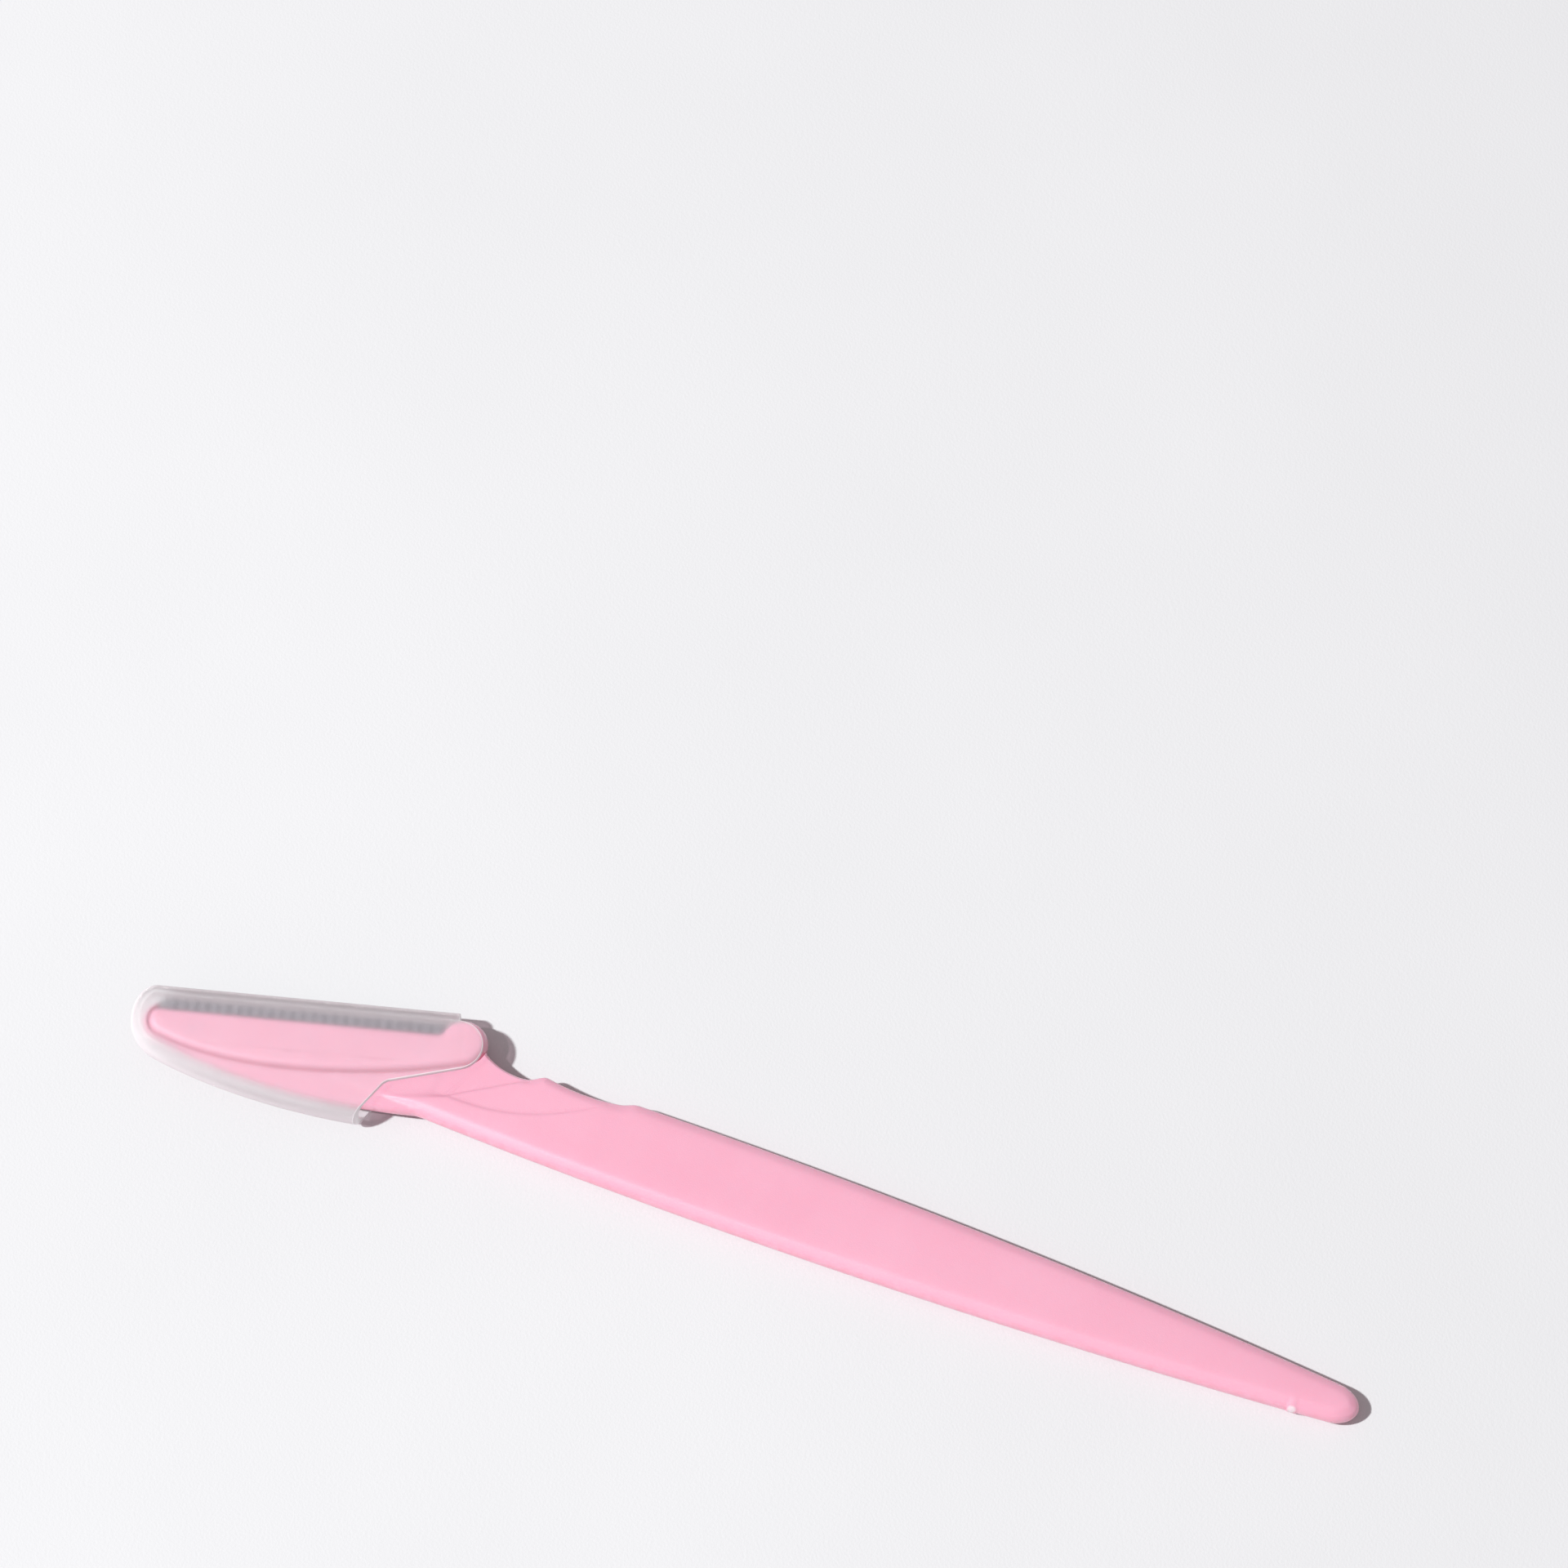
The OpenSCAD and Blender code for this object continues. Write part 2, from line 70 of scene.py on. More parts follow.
# %% [markdown]
# ## The sizes
# They are the ones the CAD model is driven by, in millimetres, drawn about the first step
# of the grip's edge: x runs to the tail, y to the blade's side, and z is measured from the
# blade's own plane. Blender works in metres, so MM turns one into the other at the end.

# %% Sizes of the grip, the head and the pad
MM = 0.001
grip_l, grip_t, grip_edge = 105.4, 3.0, 1.5
spine_drop, tail_drop, tail_rise, tail_round_l, grip_bow = 9.25, 1.85, 2.35, 2.9, 1.2
step_l, step_h, rest_l, rest_sag, rest_end_h = 1.7, 1.2, 9.9, 0.45, 1.45
bump_l, bump_h, rest_step, neck_sag = 1.4, 2.15, 0.2, 0.56
head_angle, heel_x, heel_y, neck_l, neck_t = 17.3, 11.1, 3.05, 10.5, 2.0
head_l, head_tip_r, head_tip_in, head_w = 37.4, 2.3, 3.0, 11.9
heel_r, heel_back, heel_in, blade_show = 2.9, 1.35, 2.45, 1.5
pad_l, pad_tip_r, pad_tip_in, pad_edge = 36.8, 2.0, 3.1, 0.9
half_t, plate_half = grip_t / 2, neck_t / 2
bump_x = step_l + rest_l + bump_l

# %% Sizes of the blade, the guard, the pins and the cap
blade_l, blade_tuck, blade_w, corner_l, corner_w = 35.65, 1.2, 5.6, 4.0, 1.9
blade_t, grind_w, edge_t = 0.25, 0.45, 0.03
guard_t, guard_gap, rib_w, rib_pitch, rib_start = 0.1, 0.02, 0.22, 1.29, 0.2
strip_w, strip_in = 0.8, 0.2
pin_n, pin_r, pin_in, pin_margin, pin_h = 3, 0.7, 4.1, 4.6, 0.9
cap_wall, cap_face, cap_face_gap, cap_edge_gap = 0.85, 0.65, 0.3, 0.45
cap_back_gap, cap_tip_gap, cap_edge = 1.05, 0.65, 1.5
cap_tip_r, cap_tip_in, cap_corner_l = 4.65, 3.05, 2.05
lobe_r, lobe_back, lobe_in, mouth_back = 3.05, 0.8, 3.3, 0.4
kink_u, kink_in, kink_bevel, mouth_u = 7.2, 8.75, 0.35, 10.75
seat_gap, pin_gap = 0.05, 0.05
gate_l, gate_h, gate_from_tail = 1.3, 0.18, 7.9
cap_in_half = half_t + cap_face_gap
cap_half = cap_in_half + cap_face
guard_half = blade_t / 2 + guard_gap + guard_t
edge_v = -(guard_t + guard_gap)
rib_n = int((blade_l - rib_start - rib_w) / rib_pitch) + 1
print("cap", 2 * cap_half, "mm thick,", rib_n, "ribs in the guard")

# %% [markdown]
# ## Curves in the plan
# Every outline is a list of points. Arcs and Bezier curves give the smooth stretches, and
# `place` turns a point from the head's own axes (u towards the tip, v towards the blade)
# into the part's, because the head stands at an angle to the grip.

# %% Curve helpers
tilt = math.radians(head_angle)


def lerp(a, b, s):
    return a + (b - a) * s


def arc(centre, r, start, end, count=16):
    a = np.radians(np.linspace(start, end, count))
    return np.array(centre) + r * np.stack([np.cos(a), np.sin(a)], -1)


def bezier(points, s):
    s, p = np.asarray(s)[:, None], np.array(points, float)
    return (1 - s) ** 3 * p[0] + 3 * s * (1 - s) ** 2 * p[1] + 3 * s * s * (1 - s) * p[2] + s**3 * p[3]


def place(p):
    u, v = np.atleast_2d(np.array(p, float)).T
    return np.stack(
        [-heel_x - u * math.cos(tilt) - v * math.sin(tilt),
         heel_y - u * math.sin(tilt) + v * math.cos(tilt)], -1)


def resample(path, pitch):
    """The same path with its points a pitch apart."""
    at = np.concatenate([[0], np.cumsum(np.linalg.norm(np.diff(path, axis=0), axis=1))])
    s = np.linspace(0, at[-1], int(at[-1] / pitch) + 2)
    return np.stack([np.interp(s, at, path[:, i]) for i in (0, 1)], -1)


def even(loop, pitch):
    """The same closed loop with its points a pitch apart."""
    return resample(np.concatenate([loop, loop[:1]]), pitch)[:-1]


def soften(path, rounds):
    """Rounds the corners of an open path a little, as a mould's cutter does."""
    path = path.copy()
    for _ in range(rounds):
        path[1:-1] = path[1:-1] / 2 + (path[:-2] + path[2:]) / 4
    return path


def anticlockwise(loop):
    x, y = loop.T
    area = (x * np.roll(y, -1) - np.roll(x, -1) * y).sum()
    return loop if area > 0 else loop[::-1]


def inset(loop, d):
    """A closed anticlockwise loop moved inwards by d."""
    step = np.roll(loop, -1, 0) - np.roll(loop, 1, 0)
    step /= np.linalg.norm(step, axis=1)[:, None]
    return loop + d * np.stack([-step[:, 1], step[:, 0]], -1)


# %% [markdown]
# ## The plans
# The handle's plan goes once round: the tail, the wavy finger rests, the neck's hollow, the
# round heel, the straight run beside the blade, the tip, and the long back edge. The pad
# is a leaf on the head. The cap follows the head's back edge at a distance.

# %% Edges of the grip
end_angle, head_join, heel_join, toe_angle, foot_angle = 84, 65, 105, 75, 197
spine_power, outline_pitch = 1.87, 0.22
tail_x = grip_l - tail_round_l
tail_end = grip_l - tail_round_l * (1 - math.sin(math.radians(end_angle)))


def spine_edge(x):
    return -spine_drop + (spine_drop - tail_drop) * ((x + neck_l) / (grip_l + neck_l)) ** spine_power


def bowed(x, x0, y0, x1, y1, bow):
    s = (x - x0) / (x1 - x0)
    return lerp(y0, y1, s) + 4 * bow * s * (1 - s)


def blade_edge(x):
    rest_x = step_l + rest_l
    return np.select(
        [x <= step_l, x <= rest_x, x <= bump_x],
        [step_h * x / step_l, bowed(x, step_l, step_h, rest_x, rest_end_h, -rest_sag),
         bowed(x, rest_x, rest_end_h, bump_x, bump_h, 0)],
        bowed(x, bump_x, bump_h, grip_l, tail_rise, grip_bow))


def tail(side):
    """Half of the tail's round end, from the tip to the long edge."""
    a = np.radians(np.linspace(90, 0, 24))
    x = tail_x + (tail_end - tail_x) * np.sin(a)
    mid, half = (spine_edge(x) + blade_edge(x)) / 2, (blade_edge(x) - spine_edge(x)) / 2
    return np.stack([x, mid + side * half * np.cos(a)], -1)


# %% Edges of the head plate and the pad
tip_c = [head_l - head_tip_r, -head_tip_in]
pad_tip = [pad_l - pad_tip_r, -pad_tip_in]
heel_c = [-heel_back, -heel_in]
pad_tip_angle = math.degrees(math.asin((pad_tip_in - blade_show) / pad_tip_r))
# How far each end of a Bezier curve pulls on it, as a share of the head's or the pad's length
plate_pull, plate_dip, plate_tip_pull = 0.33, 0.01, 0.26
heel_pull, pad_tip_pull, fillet = 0.29, 0.3, 0.12


def heading(degrees):
    return np.array([math.sin(math.radians(degrees)), math.cos(math.radians(degrees))])


plate_start = np.array(
    [(neck_l - heel_x) * math.cos(tilt) + (spine_drop + heel_y) * math.sin(tilt), -head_w])
plate_end = arc(tip_c, head_tip_r, -head_join, -head_join, 1)[0]
plate_curve = [plate_start, plate_start + [plate_pull * head_l, -plate_dip * head_w],
               plate_end - plate_tip_pull * head_l * heading(head_join), plate_end]


def plate_back(s, g):
    """The head plate's back edge, moved out by g."""
    p, side = bezier(plate_curve, s), np.where(s < 0.5, 1, -1)
    ahead = (bezier(plate_curve, s + 0.01 * side) - p) * side[:, None]
    ahead /= np.linalg.norm(ahead, axis=1)[:, None]
    return p + g * np.stack([ahead[:, 1], -ahead[:, 0]], -1)


def pad_side(u, g):
    """The pad's blade side: the round heel runs into the straight edge with a fillet."""
    w = heel_r + g
    reach = np.sqrt(np.maximum(w * w - (u - heel_c[0]) ** 2, 0))
    bulge = np.where(np.abs(u - heel_c[0]) < w, heel_c[1] + reach, -2 * heel_in)
    flat = -blade_show + g
    return (bulge + flat + np.sqrt((bulge - flat) ** 2 + (fillet * heel_r) ** 2)) / 2


def pad_loop(g):
    """The pad's outline, moved out by g."""
    heel = arc(heel_c, heel_r + g, heel_join, 360 - heel_join, 40)
    tip = arc(pad_tip, pad_tip_r + g, -head_join, pad_tip_angle, 24)
    leave, along = heel_pull * pad_l * heading(heel_join), pad_tip_pull * pad_l * heading(head_join)
    back = bezier([heel[-1], heel[-1] + leave, tip[0] - along, tip[0]], np.linspace(0, 1, 120))
    run = lerp(tip[-1, 0], heel[0, 0], np.linspace(0, 1, 400))
    side = np.stack([run, pad_side(run, g)], -1)
    return anticlockwise(place(np.concatenate([heel[:-1], back[:-1], tip[:-1], side[:-1]])))


# %% The handle's outline
gate_u = grip_l - gate_from_tail
gate_c = np.array([gate_u + gate_l / 2, spine_edge(gate_u + gate_l / 2)])


def with_gate(path):
    """The back edge with the broken-off gate's jagged stub in it."""
    s = np.linspace(0, 1, 17)
    x = gate_u + gate_l * s
    teeth = 0.75 + 0.25 * np.sin(23 * s) * np.sin(9 * s + 1)
    stub = np.stack([x, spine_edge(x) - gate_h * teeth * np.minimum(1, 9 * np.minimum(s, 1 - s))], -1)
    before, after = path[path[:, 0] < gate_u - 0.05], path[path[:, 0] > gate_u + gate_l + 0.05]
    return np.concatenate([before, stub, after])


def handle_plan(gate=True):
    """The handle's whole outline, with or without the gate's stub."""
    heel = arc(heel_c, heel_r, foot_angle, heel_join, 30)
    foot = place(heel[:1])[0]
    s = np.linspace(0, 1, 60)[:, None]
    along = foot / np.linalg.norm(foot)
    neck = s * foot + np.array([along[1], -along[0]]) * -4 * neck_sag * s * (1 - s)
    rest_x = step_l + rest_l
    x = np.concatenate([np.linspace(tail_x, bump_x, 300)[1:], np.linspace(bump_x, rest_x, 8)[1:],
                        np.linspace(rest_x, step_l, 50)[1:], [step_l / 2]])
    run = np.linspace(heel[-1, 0], blade_l + seat_gap, 300)
    beside = place(np.stack([run, pad_side(run, 0)], -1))
    rests = np.concatenate([tail(1), np.stack([x, blade_edge(x)], -1), neck, place(heel[1:])])
    toe = place(arc(tip_c, head_tip_r, toe_angle, -head_join, 40))
    back = place(plate_back(np.linspace(1, 0, 160)[1:], 0))
    x = np.linspace(-neck_l, tail_x, 400)[1:]
    spine = np.concatenate([toe[-1:], back, np.stack([x, spine_edge(x)], -1), tail(-1)[::-1]])
    paths = [soften(resample(rests, outline_pitch), 5), resample(beside, outline_pitch),
             resample(toe, outline_pitch), soften(resample(spine, outline_pitch), 5)]
    if gate:
        paths[3] = with_gate(paths[3])
    return anticlockwise(np.concatenate([p[:-1] if i != 1 else p[1:] for i, p in enumerate(paths)]))


handle_loop, plain_loop = handle_plan(), handle_plan(gate=False)
print("handle's outline:", len(handle_loop), "points")

# %% [markdown]
# ## From a plan to a solid
# `net` lays a Delaunay net over the plan. Every line it is given stays an edge of the net,
# so a crease or the foot of a rounding is crisp. `depth` is the distance of each point of
# the net inside a loop, and the height maps are written with it: a quarter round rises
# with the depth, and a step rises across a crease. `relief` joins the two lifted nets.

# %% Depth inside a loop, steps and roundings
def dense(loop, pitch=0.3):
    """The same closed loop with extra points on its long stretches."""
    ends = zip(loop, np.roll(loop, -1, 0))
    return np.concatenate([
        lerp(a, b, np.arange(n)[:, None] / n)
        for a, b in ends for n in [max(1, int(np.linalg.norm(b - a) / pitch))]])


def depth(p, loop):
    """Distance to a closed anticlockwise loop, positive inside it."""
    loop = dense(loop)
    n, tree = len(loop), KDTree(len(loop))
    for i, (x, y) in enumerate(loop):
        tree.insert((x, y, 0), i)
    tree.balance()
    near = np.array([tree.find((x, y, 0))[1] for x, y in p])
    best, side = np.full(len(p), 1e9), np.zeros(len(p))
    step = np.roll(loop, -1, 0) - loop
    normal = np.stack([-step[:, 1], step[:, 0]], -1) / np.linalg.norm(step, axis=1)[:, None]
    for k in ((near - 1) % n, near):
        q, ab = p - loop[k], step[k]
        t = (q * ab).sum(1) / (ab**2).sum(1)
        at_corner = np.where((t <= 0)[:, None], normal[k - 1], normal[(k + 1) % n])
        facing = np.where(((t > 0) & (t < 1))[:, None], normal[k], normal[k] + at_corner)
        away = q - np.clip(t, 0, 1)[:, None] * ab
        gap = np.linalg.norm(away, axis=1)
        closer = gap < best
        best, side = np.where(closer, gap, best), np.where(closer, (away * facing).sum(1), side)
    return np.where(side >= 0, best, -best)


def swell(d, e):
    """Height of a quarter round of width e, from 0 at its foot to 1."""
    return np.sqrt(1 - (1 - np.clip(d / e, 0, 1)) ** 2)


def ramp(d, w):
    s = np.clip(d / w, 0, 1)
    return s * s * (3 - 2 * s)


def soft_min(a, b, r):
    s = np.clip(0.5 + 0.5 * (b - a) / r, 0, 1)
    return lerp(b, a, s) - r * s * (1 - s)


def soft_max(a, b, r):
    return -soft_min(-a, -b, r)


def rings(loop, e, count):
    """Lines along a rounding of width e, closer together where it is steep."""
    return [inset(loop, e * (1 - math.cos(math.pi / 2 * i / count))) for i in range(1, count + 1)]


# %% The net and the solid
def hatch(loop, pitch, low_x=-1e9, high_x=1e9):
    """Points in a hexagonal pattern inside a loop, between two stations of x."""
    low, high = loop.min(0), loop.max(0)
    x0, x1 = max(low[0], low_x), min(high[0], high_x)
    rows = np.arange(low[1], high[1], pitch * math.sqrt(3) / 2)
    points = np.concatenate([
        np.stack([np.arange(x0 + (i % 2) * pitch / 2, x1, pitch)] * 2, -1) * [1, 0] + [0, y]
        for i, y in enumerate(rows)])
    return points[depth(points, loop) > pitch / 3]


def net(loops, points):
    """A Delaunay net through the points, with every closed loop kept as edges."""
    coords, edges = [], []
    for loop in loops:
        n, m = len(coords), len(loop)
        coords += [Vector(c) for c in loop]
        edges += [(n + i, n + (i + 1) % m) for i in range(m)]
    coords += [Vector(c) for c in points]
    found = delaunay_2d_cdt(coords, edges, [], 0, 1e-4, False)
    xy = np.array([tuple(v) for v in found[0]])
    triangles = np.array([tuple(f) for f in found[2]])
    a, b, c = xy[triangles[:, 0]], xy[triangles[:, 1]], xy[triangles[:, 2]]
    turn = np.cross(b - a, c - a)
    triangles[turn < 0] = triangles[turn < 0][:, ::-1]
    return xy, triangles[np.abs(turn) > 1e-7]


def inside(xy, triangles, loop):
    return depth(xy[triangles].mean(1), loop) > 0


def rim(triangles):
    """The directed edges that only one triangle has."""
    e = np.concatenate([triangles[:, [0, 1]], triangles[:, [1, 2]], triangles[:, [2, 0]]])
    _, at, count = np.unique(np.sort(e, 1), axis=0, return_inverse=True, return_counts=True)
    return e[count[at.ravel()] == 1]


def to_part(xy, z):
    """Drawing coordinates in mm to the part's frame in metres."""
    return np.column_stack([xy - middle, z + cap_half]) * MM


def solid(name, points, faces, node, marks, finish=None):
    """A welded, smooth-shaded mesh, kept inside the box of the CAD node it stands for.

    marks are values stored with its points; finish is the number of each face's material."""
    low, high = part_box(node)
    mesh = bpy.data.meshes.new(name)
    mesh.from_pydata(np.clip(points, low, high).tolist(), [], faces)
    for label, value in marks.items():
        mesh.attributes.new(label, "FLOAT", "POINT").data.foreach_set("value", value.astype(np.float32))
    if finish is not None:
        mesh.polygons.foreach_set("material_index", finish)
    shape = bmesh.new()
    shape.from_mesh(mesh)
    bmesh.ops.remove_doubles(shape, verts=shape.verts, dist=1e-6)
    bmesh.ops.dissolve_degenerate(shape, edges=shape.edges, dist=1e-7)
    open_edges = sum(not e.is_manifold for e in shape.edges)
    volume = shape.calc_volume(signed=True) / MM**3
    shape.to_mesh(mesh)
    shape.free()
    mesh.shade_smooth()
    mesh.set_sharp_from_angle(angle=math.radians(38))
    made = bpy.data.objects.new(name, mesh)
    bpy.context.collection.objects.link(made)
    print(f"{name}: {len(mesh.polygons)} faces, {volume:.1f} mm3, {open_edges} open edges")
    return made


def relief(name, xy, triangles, top, bottom, node, **marks):
    """The closed solid between two height maps over one net."""
    n = len(xy)
    walls = [(i + n, j + n, j, i) for i, j in rim(triangles).tolist()]
    faces = triangles.tolist() + (triangles[:, ::-1] + n).tolist() + walls
    points = np.concatenate([to_part(xy, top), to_part(xy, bottom)])
    return solid(name, points, faces, node, {label: np.tile(value, 2) for label, value in marks.items()})


mouth_top = place([[-mouth_back, cap_wall + cap_edge_gap]])[0]
middle = np.array([tail_end - cad_high.x / MM, mouth_top[1] - cad_high.y / MM])
print("the drawing's middle:", middle.round(3))

# %% [markdown]
# ## The handle
# On the real razor one mould makes the grip, the neck, the head plate and the back half of
# the pad. The grip is thickest, the neck is a step lower, and two fine creases cross the
# face where the heights change. The lower face has the same creases. The steps are cut
# with `ramp` over a fraction of a millimetre, which gives them the small round that any
# mould has and that catches the light.

# %% Creases, the blade's room and the pins
# The creases' corners are shares of the neck's length and of the spine's drop
fork = [-0.773 * neck_l, -0.655 * spine_drop]
crease = [[-a * neck_l, -b * spine_drop] for a, b in ((1.123, 0.811), (1.463, 1.005))]
crease_end = 6 * np.array(crease[1]) - 5 * np.array(crease[0])
neck_loop = np.array([[0.03 * neck_l, -0.036 * spine_drop], fork, *crease, crease_end,
                      [-60, -30], [-60, 8], [0.03 * neck_l, 8]])
neck_loop = anticlockwise(even(neck_loop, 0.4))
rest_c = [step_l + rest_l, rest_end_h]
rest_curve = bezier([fork, [-0.219 * neck_l, -0.649 * spine_drop],
                     [0.308 * neck_l, -0.565 * spine_drop], rest_c], np.linspace(0, 1, 50))
rest_loop = anticlockwise(np.concatenate([rest_curve, [[rest_c[0], 5], [-3, 5], [-6, 0]]]))
crease_w, rest_crease_w, tongue_w = 0.6, 0.5, 1.8
sheer = 0.01  # how far a straight-sided hollow's wall leans


def rect(u0, v0, u1, v1):
    return anticlockwise(place([[u0, v0], [u1, v0], [u1, v1], [u0, v1]]))


blade_rect = rect(-blade_tuck - seat_gap, -blade_w - seat_gap, blade_l + seat_gap, 2)
guard_rect = rect(-seat_gap, -blade_show - strip_in - strip_w - seat_gap, blade_l + seat_gap, 2)
pin_run = (blade_l + blade_tuck - 2 * pin_margin) / (pin_n - 1)
pin_at = [[pin_margin - blade_tuck + pin_run * i, -pin_in] for i in range(pin_n)]


def pin_loops(r):
    return [anticlockwise(place(arc(c, r, 0, 360, 33)[:-1])) for c in pin_at]


def room(p):
    """Depth of the hollow that the blade and the guard's strips lie in, from the blade's plane."""
    for_blade = ramp(depth(p, blade_rect), sheer) * (blade_t / 2 + seat_gap)
    for_guard = ramp(depth(p, guard_rect), sheer) * (guard_half + seat_gap)
    return np.maximum(for_blade, for_guard)


# %% Height maps of the handle
crown, crown_w = 0.17, 3.3
pad_crown, pad_crown_w = 0.08, 2.5
crease_blend, neck_blend = 0.1, 0.25


def crease_width(p):
    """The neck's crease is crisp up to the fork, then widens into a soft tongue."""
    past = (fork[0] - p[:, 0]) / (fork[0] - crease[1][0])
    return lerp(crease_w, tongue_w, ramp(past, 0.5))


def face_height(p, d):
    """Half thickness of the grip, the neck and the head plate, with creases."""
    in_grip = np.minimum(d, p[:, 1] + spine_drop)
    dome = 1 - crown * (1 - np.clip(d / crown_w, 0, 1)) ** 2
    grip, plate = half_t * swell(in_grip, grip_edge) * dome, half_t * swell(d, grip_edge)
    w = crease_width(p)
    neck = half_t + (plate_half - half_t) * ramp(depth(p, neck_loop) + w / 2, w)
    rest = half_t - rest_step * ramp(depth(p, rest_loop) + rest_crease_w / 2, rest_crease_w)
    grip = soft_min(grip, np.minimum(neck, rest), crease_blend)
    plate = np.minimum(plate, plate_half)
    joined = np.where(in_grip < d, soft_max(grip, plate, neck_blend), np.maximum(grip, plate))
    return np.maximum(joined, 0) * (d > 1e-6)


def pad_height(d):
    dome = 1 - pad_crown * (1 - np.clip(d / pad_crown_w, 0, 1)) ** 2
    return half_t * swell(d, pad_edge) * dome


# %% Build the handle
fine, coarse, mark_w = 0.5, 0.9, 0.5
seat_round, seat_dip, seat_reach = 0.12, 0.04, 0.1
pad_lines, seat_loop = even(pad_loop(0), 0.3), even(pad_loop(seat_gap), 0.3)
lines = [handle_loop, *rings(plain_loop, grip_edge, 8), pad_lines, *rings(pad_lines, pad_edge, 6), seat_loop,
         *(inset(seat_loop, -w) for w in (0.02, 0.05, 0.1)),
         *(inset(neck_loop, crease_w * w) for w in (-0.5, -0.25, 0, 0.25, 0.5)),
         *(inset(rest_loop, rest_crease_w * w) for w in (-0.5, -0.2, 0.2, 0.5)),
         blade_rect, inset(blade_rect, sheer), guard_rect, inset(guard_rect, sheer), *pin_loops(pin_r),
         *pin_loops(pin_r + sheer)]
grains = np.concatenate([hatch(handle_loop, fine, high_x=14), hatch(handle_loop, coarse, low_x=14)])
grains = grains[depth(grains, handle_loop) > grip_edge]
xy, triangles = net(lines, grains)
triangles = triangles[inside(xy, triangles, handle_loop)]
d, seat, pad = depth(xy, handle_loop), depth(xy, seat_loop), depth(xy, pad_lines)
on_rim = np.isin(np.arange(len(xy)), rim(triangles))
d[on_rim] = 0
face = face_height(xy, d)
rounded = np.minimum(face, plate_half * swell(seat_dip - seat, seat_round))
wall = np.where(seat > -seat_reach, rounded, face)
floor = -room(xy)
for loop in pin_loops(pin_r):
    floor = np.where(depth(xy, loop) > -1e-4, pin_h, floor)
top = np.where(seat > -1e-3, floor, wall)
bottom = -np.maximum(face, np.where(pad > 0, pad_height(np.maximum(pad, 0)), 0))
bottom[on_rim] = 0
bottom = np.minimum(bottom, np.minimum(top, 0))
scar = np.exp(-np.linalg.norm((xy - gate_c) / [gate_l / 2, 0.5], axis=1) ** 2)
handle = relief("handle_moulding", xy, triangles, top, bottom, "handle",
                edge=np.exp(-d / mark_w), scar=scar)

# %% [markdown]
# ## The clamp
# The front half of the leaf-shaped pad is a moulding of its own. It drops into the seat in
# the head plate and leaves a hairline joint all round, which shows as a dark line.

# %% Build the clamp
lines = [pad_lines, *rings(pad_lines, pad_edge, 8), blade_rect, inset(blade_rect, sheer), guard_rect,
         inset(guard_rect, sheer), *pin_loops(pin_r + pin_gap), *pin_loops(pin_r + pin_gap + sheer)]
xy, triangles = net(lines, hatch(pad_lines, fine))
triangles = triangles[inside(xy, triangles, pad_lines)]
d = depth(xy, pad_lines)
d[rim(triangles).ravel()] = 0
bottom = room(xy)
for loop in pin_loops(pin_r + pin_gap):
    bottom = np.where(depth(xy, loop) > -1e-4, pin_h + seat_gap, bottom)
top = np.maximum(pad_height(d), bottom)
clamp = relief("clamp_moulding", xy, triangles, top, bottom, "blade_clamp", edge=np.exp(-d / mark_w))

# %% [markdown]
# ## The blade
# It is a strip of steel a quarter of a millimetre thick, with slanted back corners, three
# round holes for the pins and an edge ground from both faces.

# %% Build the blade
blade_loop = anticlockwise(place(
    [[-blade_tuck, edge_v], [blade_l, edge_v], [blade_l, corner_w - blade_w], [blade_l - corner_l, -blade_w],
     [corner_l - blade_tuck, -blade_w], [-blade_tuck, corner_w - blade_w]]))
shoulder = rect(-2 * blade_tuck, edge_v - grind_w, 2 * blade_l, edge_v + 1)
holes = pin_loops(pin_r + pin_gap)
xy, triangles = net([blade_loop, shoulder, *holes], hatch(blade_loop, 0.8))
triangles = triangles[inside(xy, triangles, blade_loop)]
for loop in holes:
    triangles = triangles[~inside(xy, triangles, loop)]
lip = depth(xy, rect(-2 * blade_tuck, -2 * blade_w, 2 * blade_l, edge_v))
half = lerp(edge_t / 2, blade_t / 2, np.clip(lip / grind_w, 0, 1))
blade = relief("blade_strip", xy, triangles, half, -half, "blade", edge=np.exp(-np.abs(lip) / 0.1))

# %% [markdown]
# ## The guard
# The guard is a sheet a tenth of a millimetre thick. It is punched into a comb, with small
# rounds in the corners of its windows, and folded over the blade's edge. One rib and the
# window beside it repeat all along the blade, so Geometry Nodes lay them out. The tree
# takes the number of ribs and their pitch as named inputs, and ends with a plain mesh.

# %% One window of the comb, as a folded sheet
sheet_r = guard_half - guard_t / 2
strip_from, window_r = blade_show + strip_in, 0.16


def folded(s):
    """The sheet's middle at a distance s from the fold's crown: (v, z)."""
    turn = abs(s) / sheet_r
    if turn < math.pi / 2:
        return -guard_half + sheet_r * math.cos(turn), math.copysign(sheet_r * math.sin(turn), s)
    return -guard_half - (abs(s) - math.pi / 2 * sheet_r), math.copysign(sheet_r, s)


def stations():
    """Distances along the rib: the fold, the straight run, the window's corner, the strip."""
    bend, corner = math.pi / 2 * sheet_r, math.pi / 2 * sheet_r + strip_from - guard_half
    out = [bend * i / 5 for i in range(6)] + [lerp(bend, corner - window_r, i / 3) for i in (1, 2, 3)]
    out += [corner - window_r * math.cos(math.radians(a)) for a in (60, 35, 12)][::-1]
    return sorted(out), corner, corner + strip_w


def half_width(s, corner):
    """Half of the rib's width at s, with the round of the window's corner."""
    into = min(max(s - (corner - window_r), 0), window_r)
    return rib_w / 2 + window_r - math.sqrt(window_r**2 - into**2)


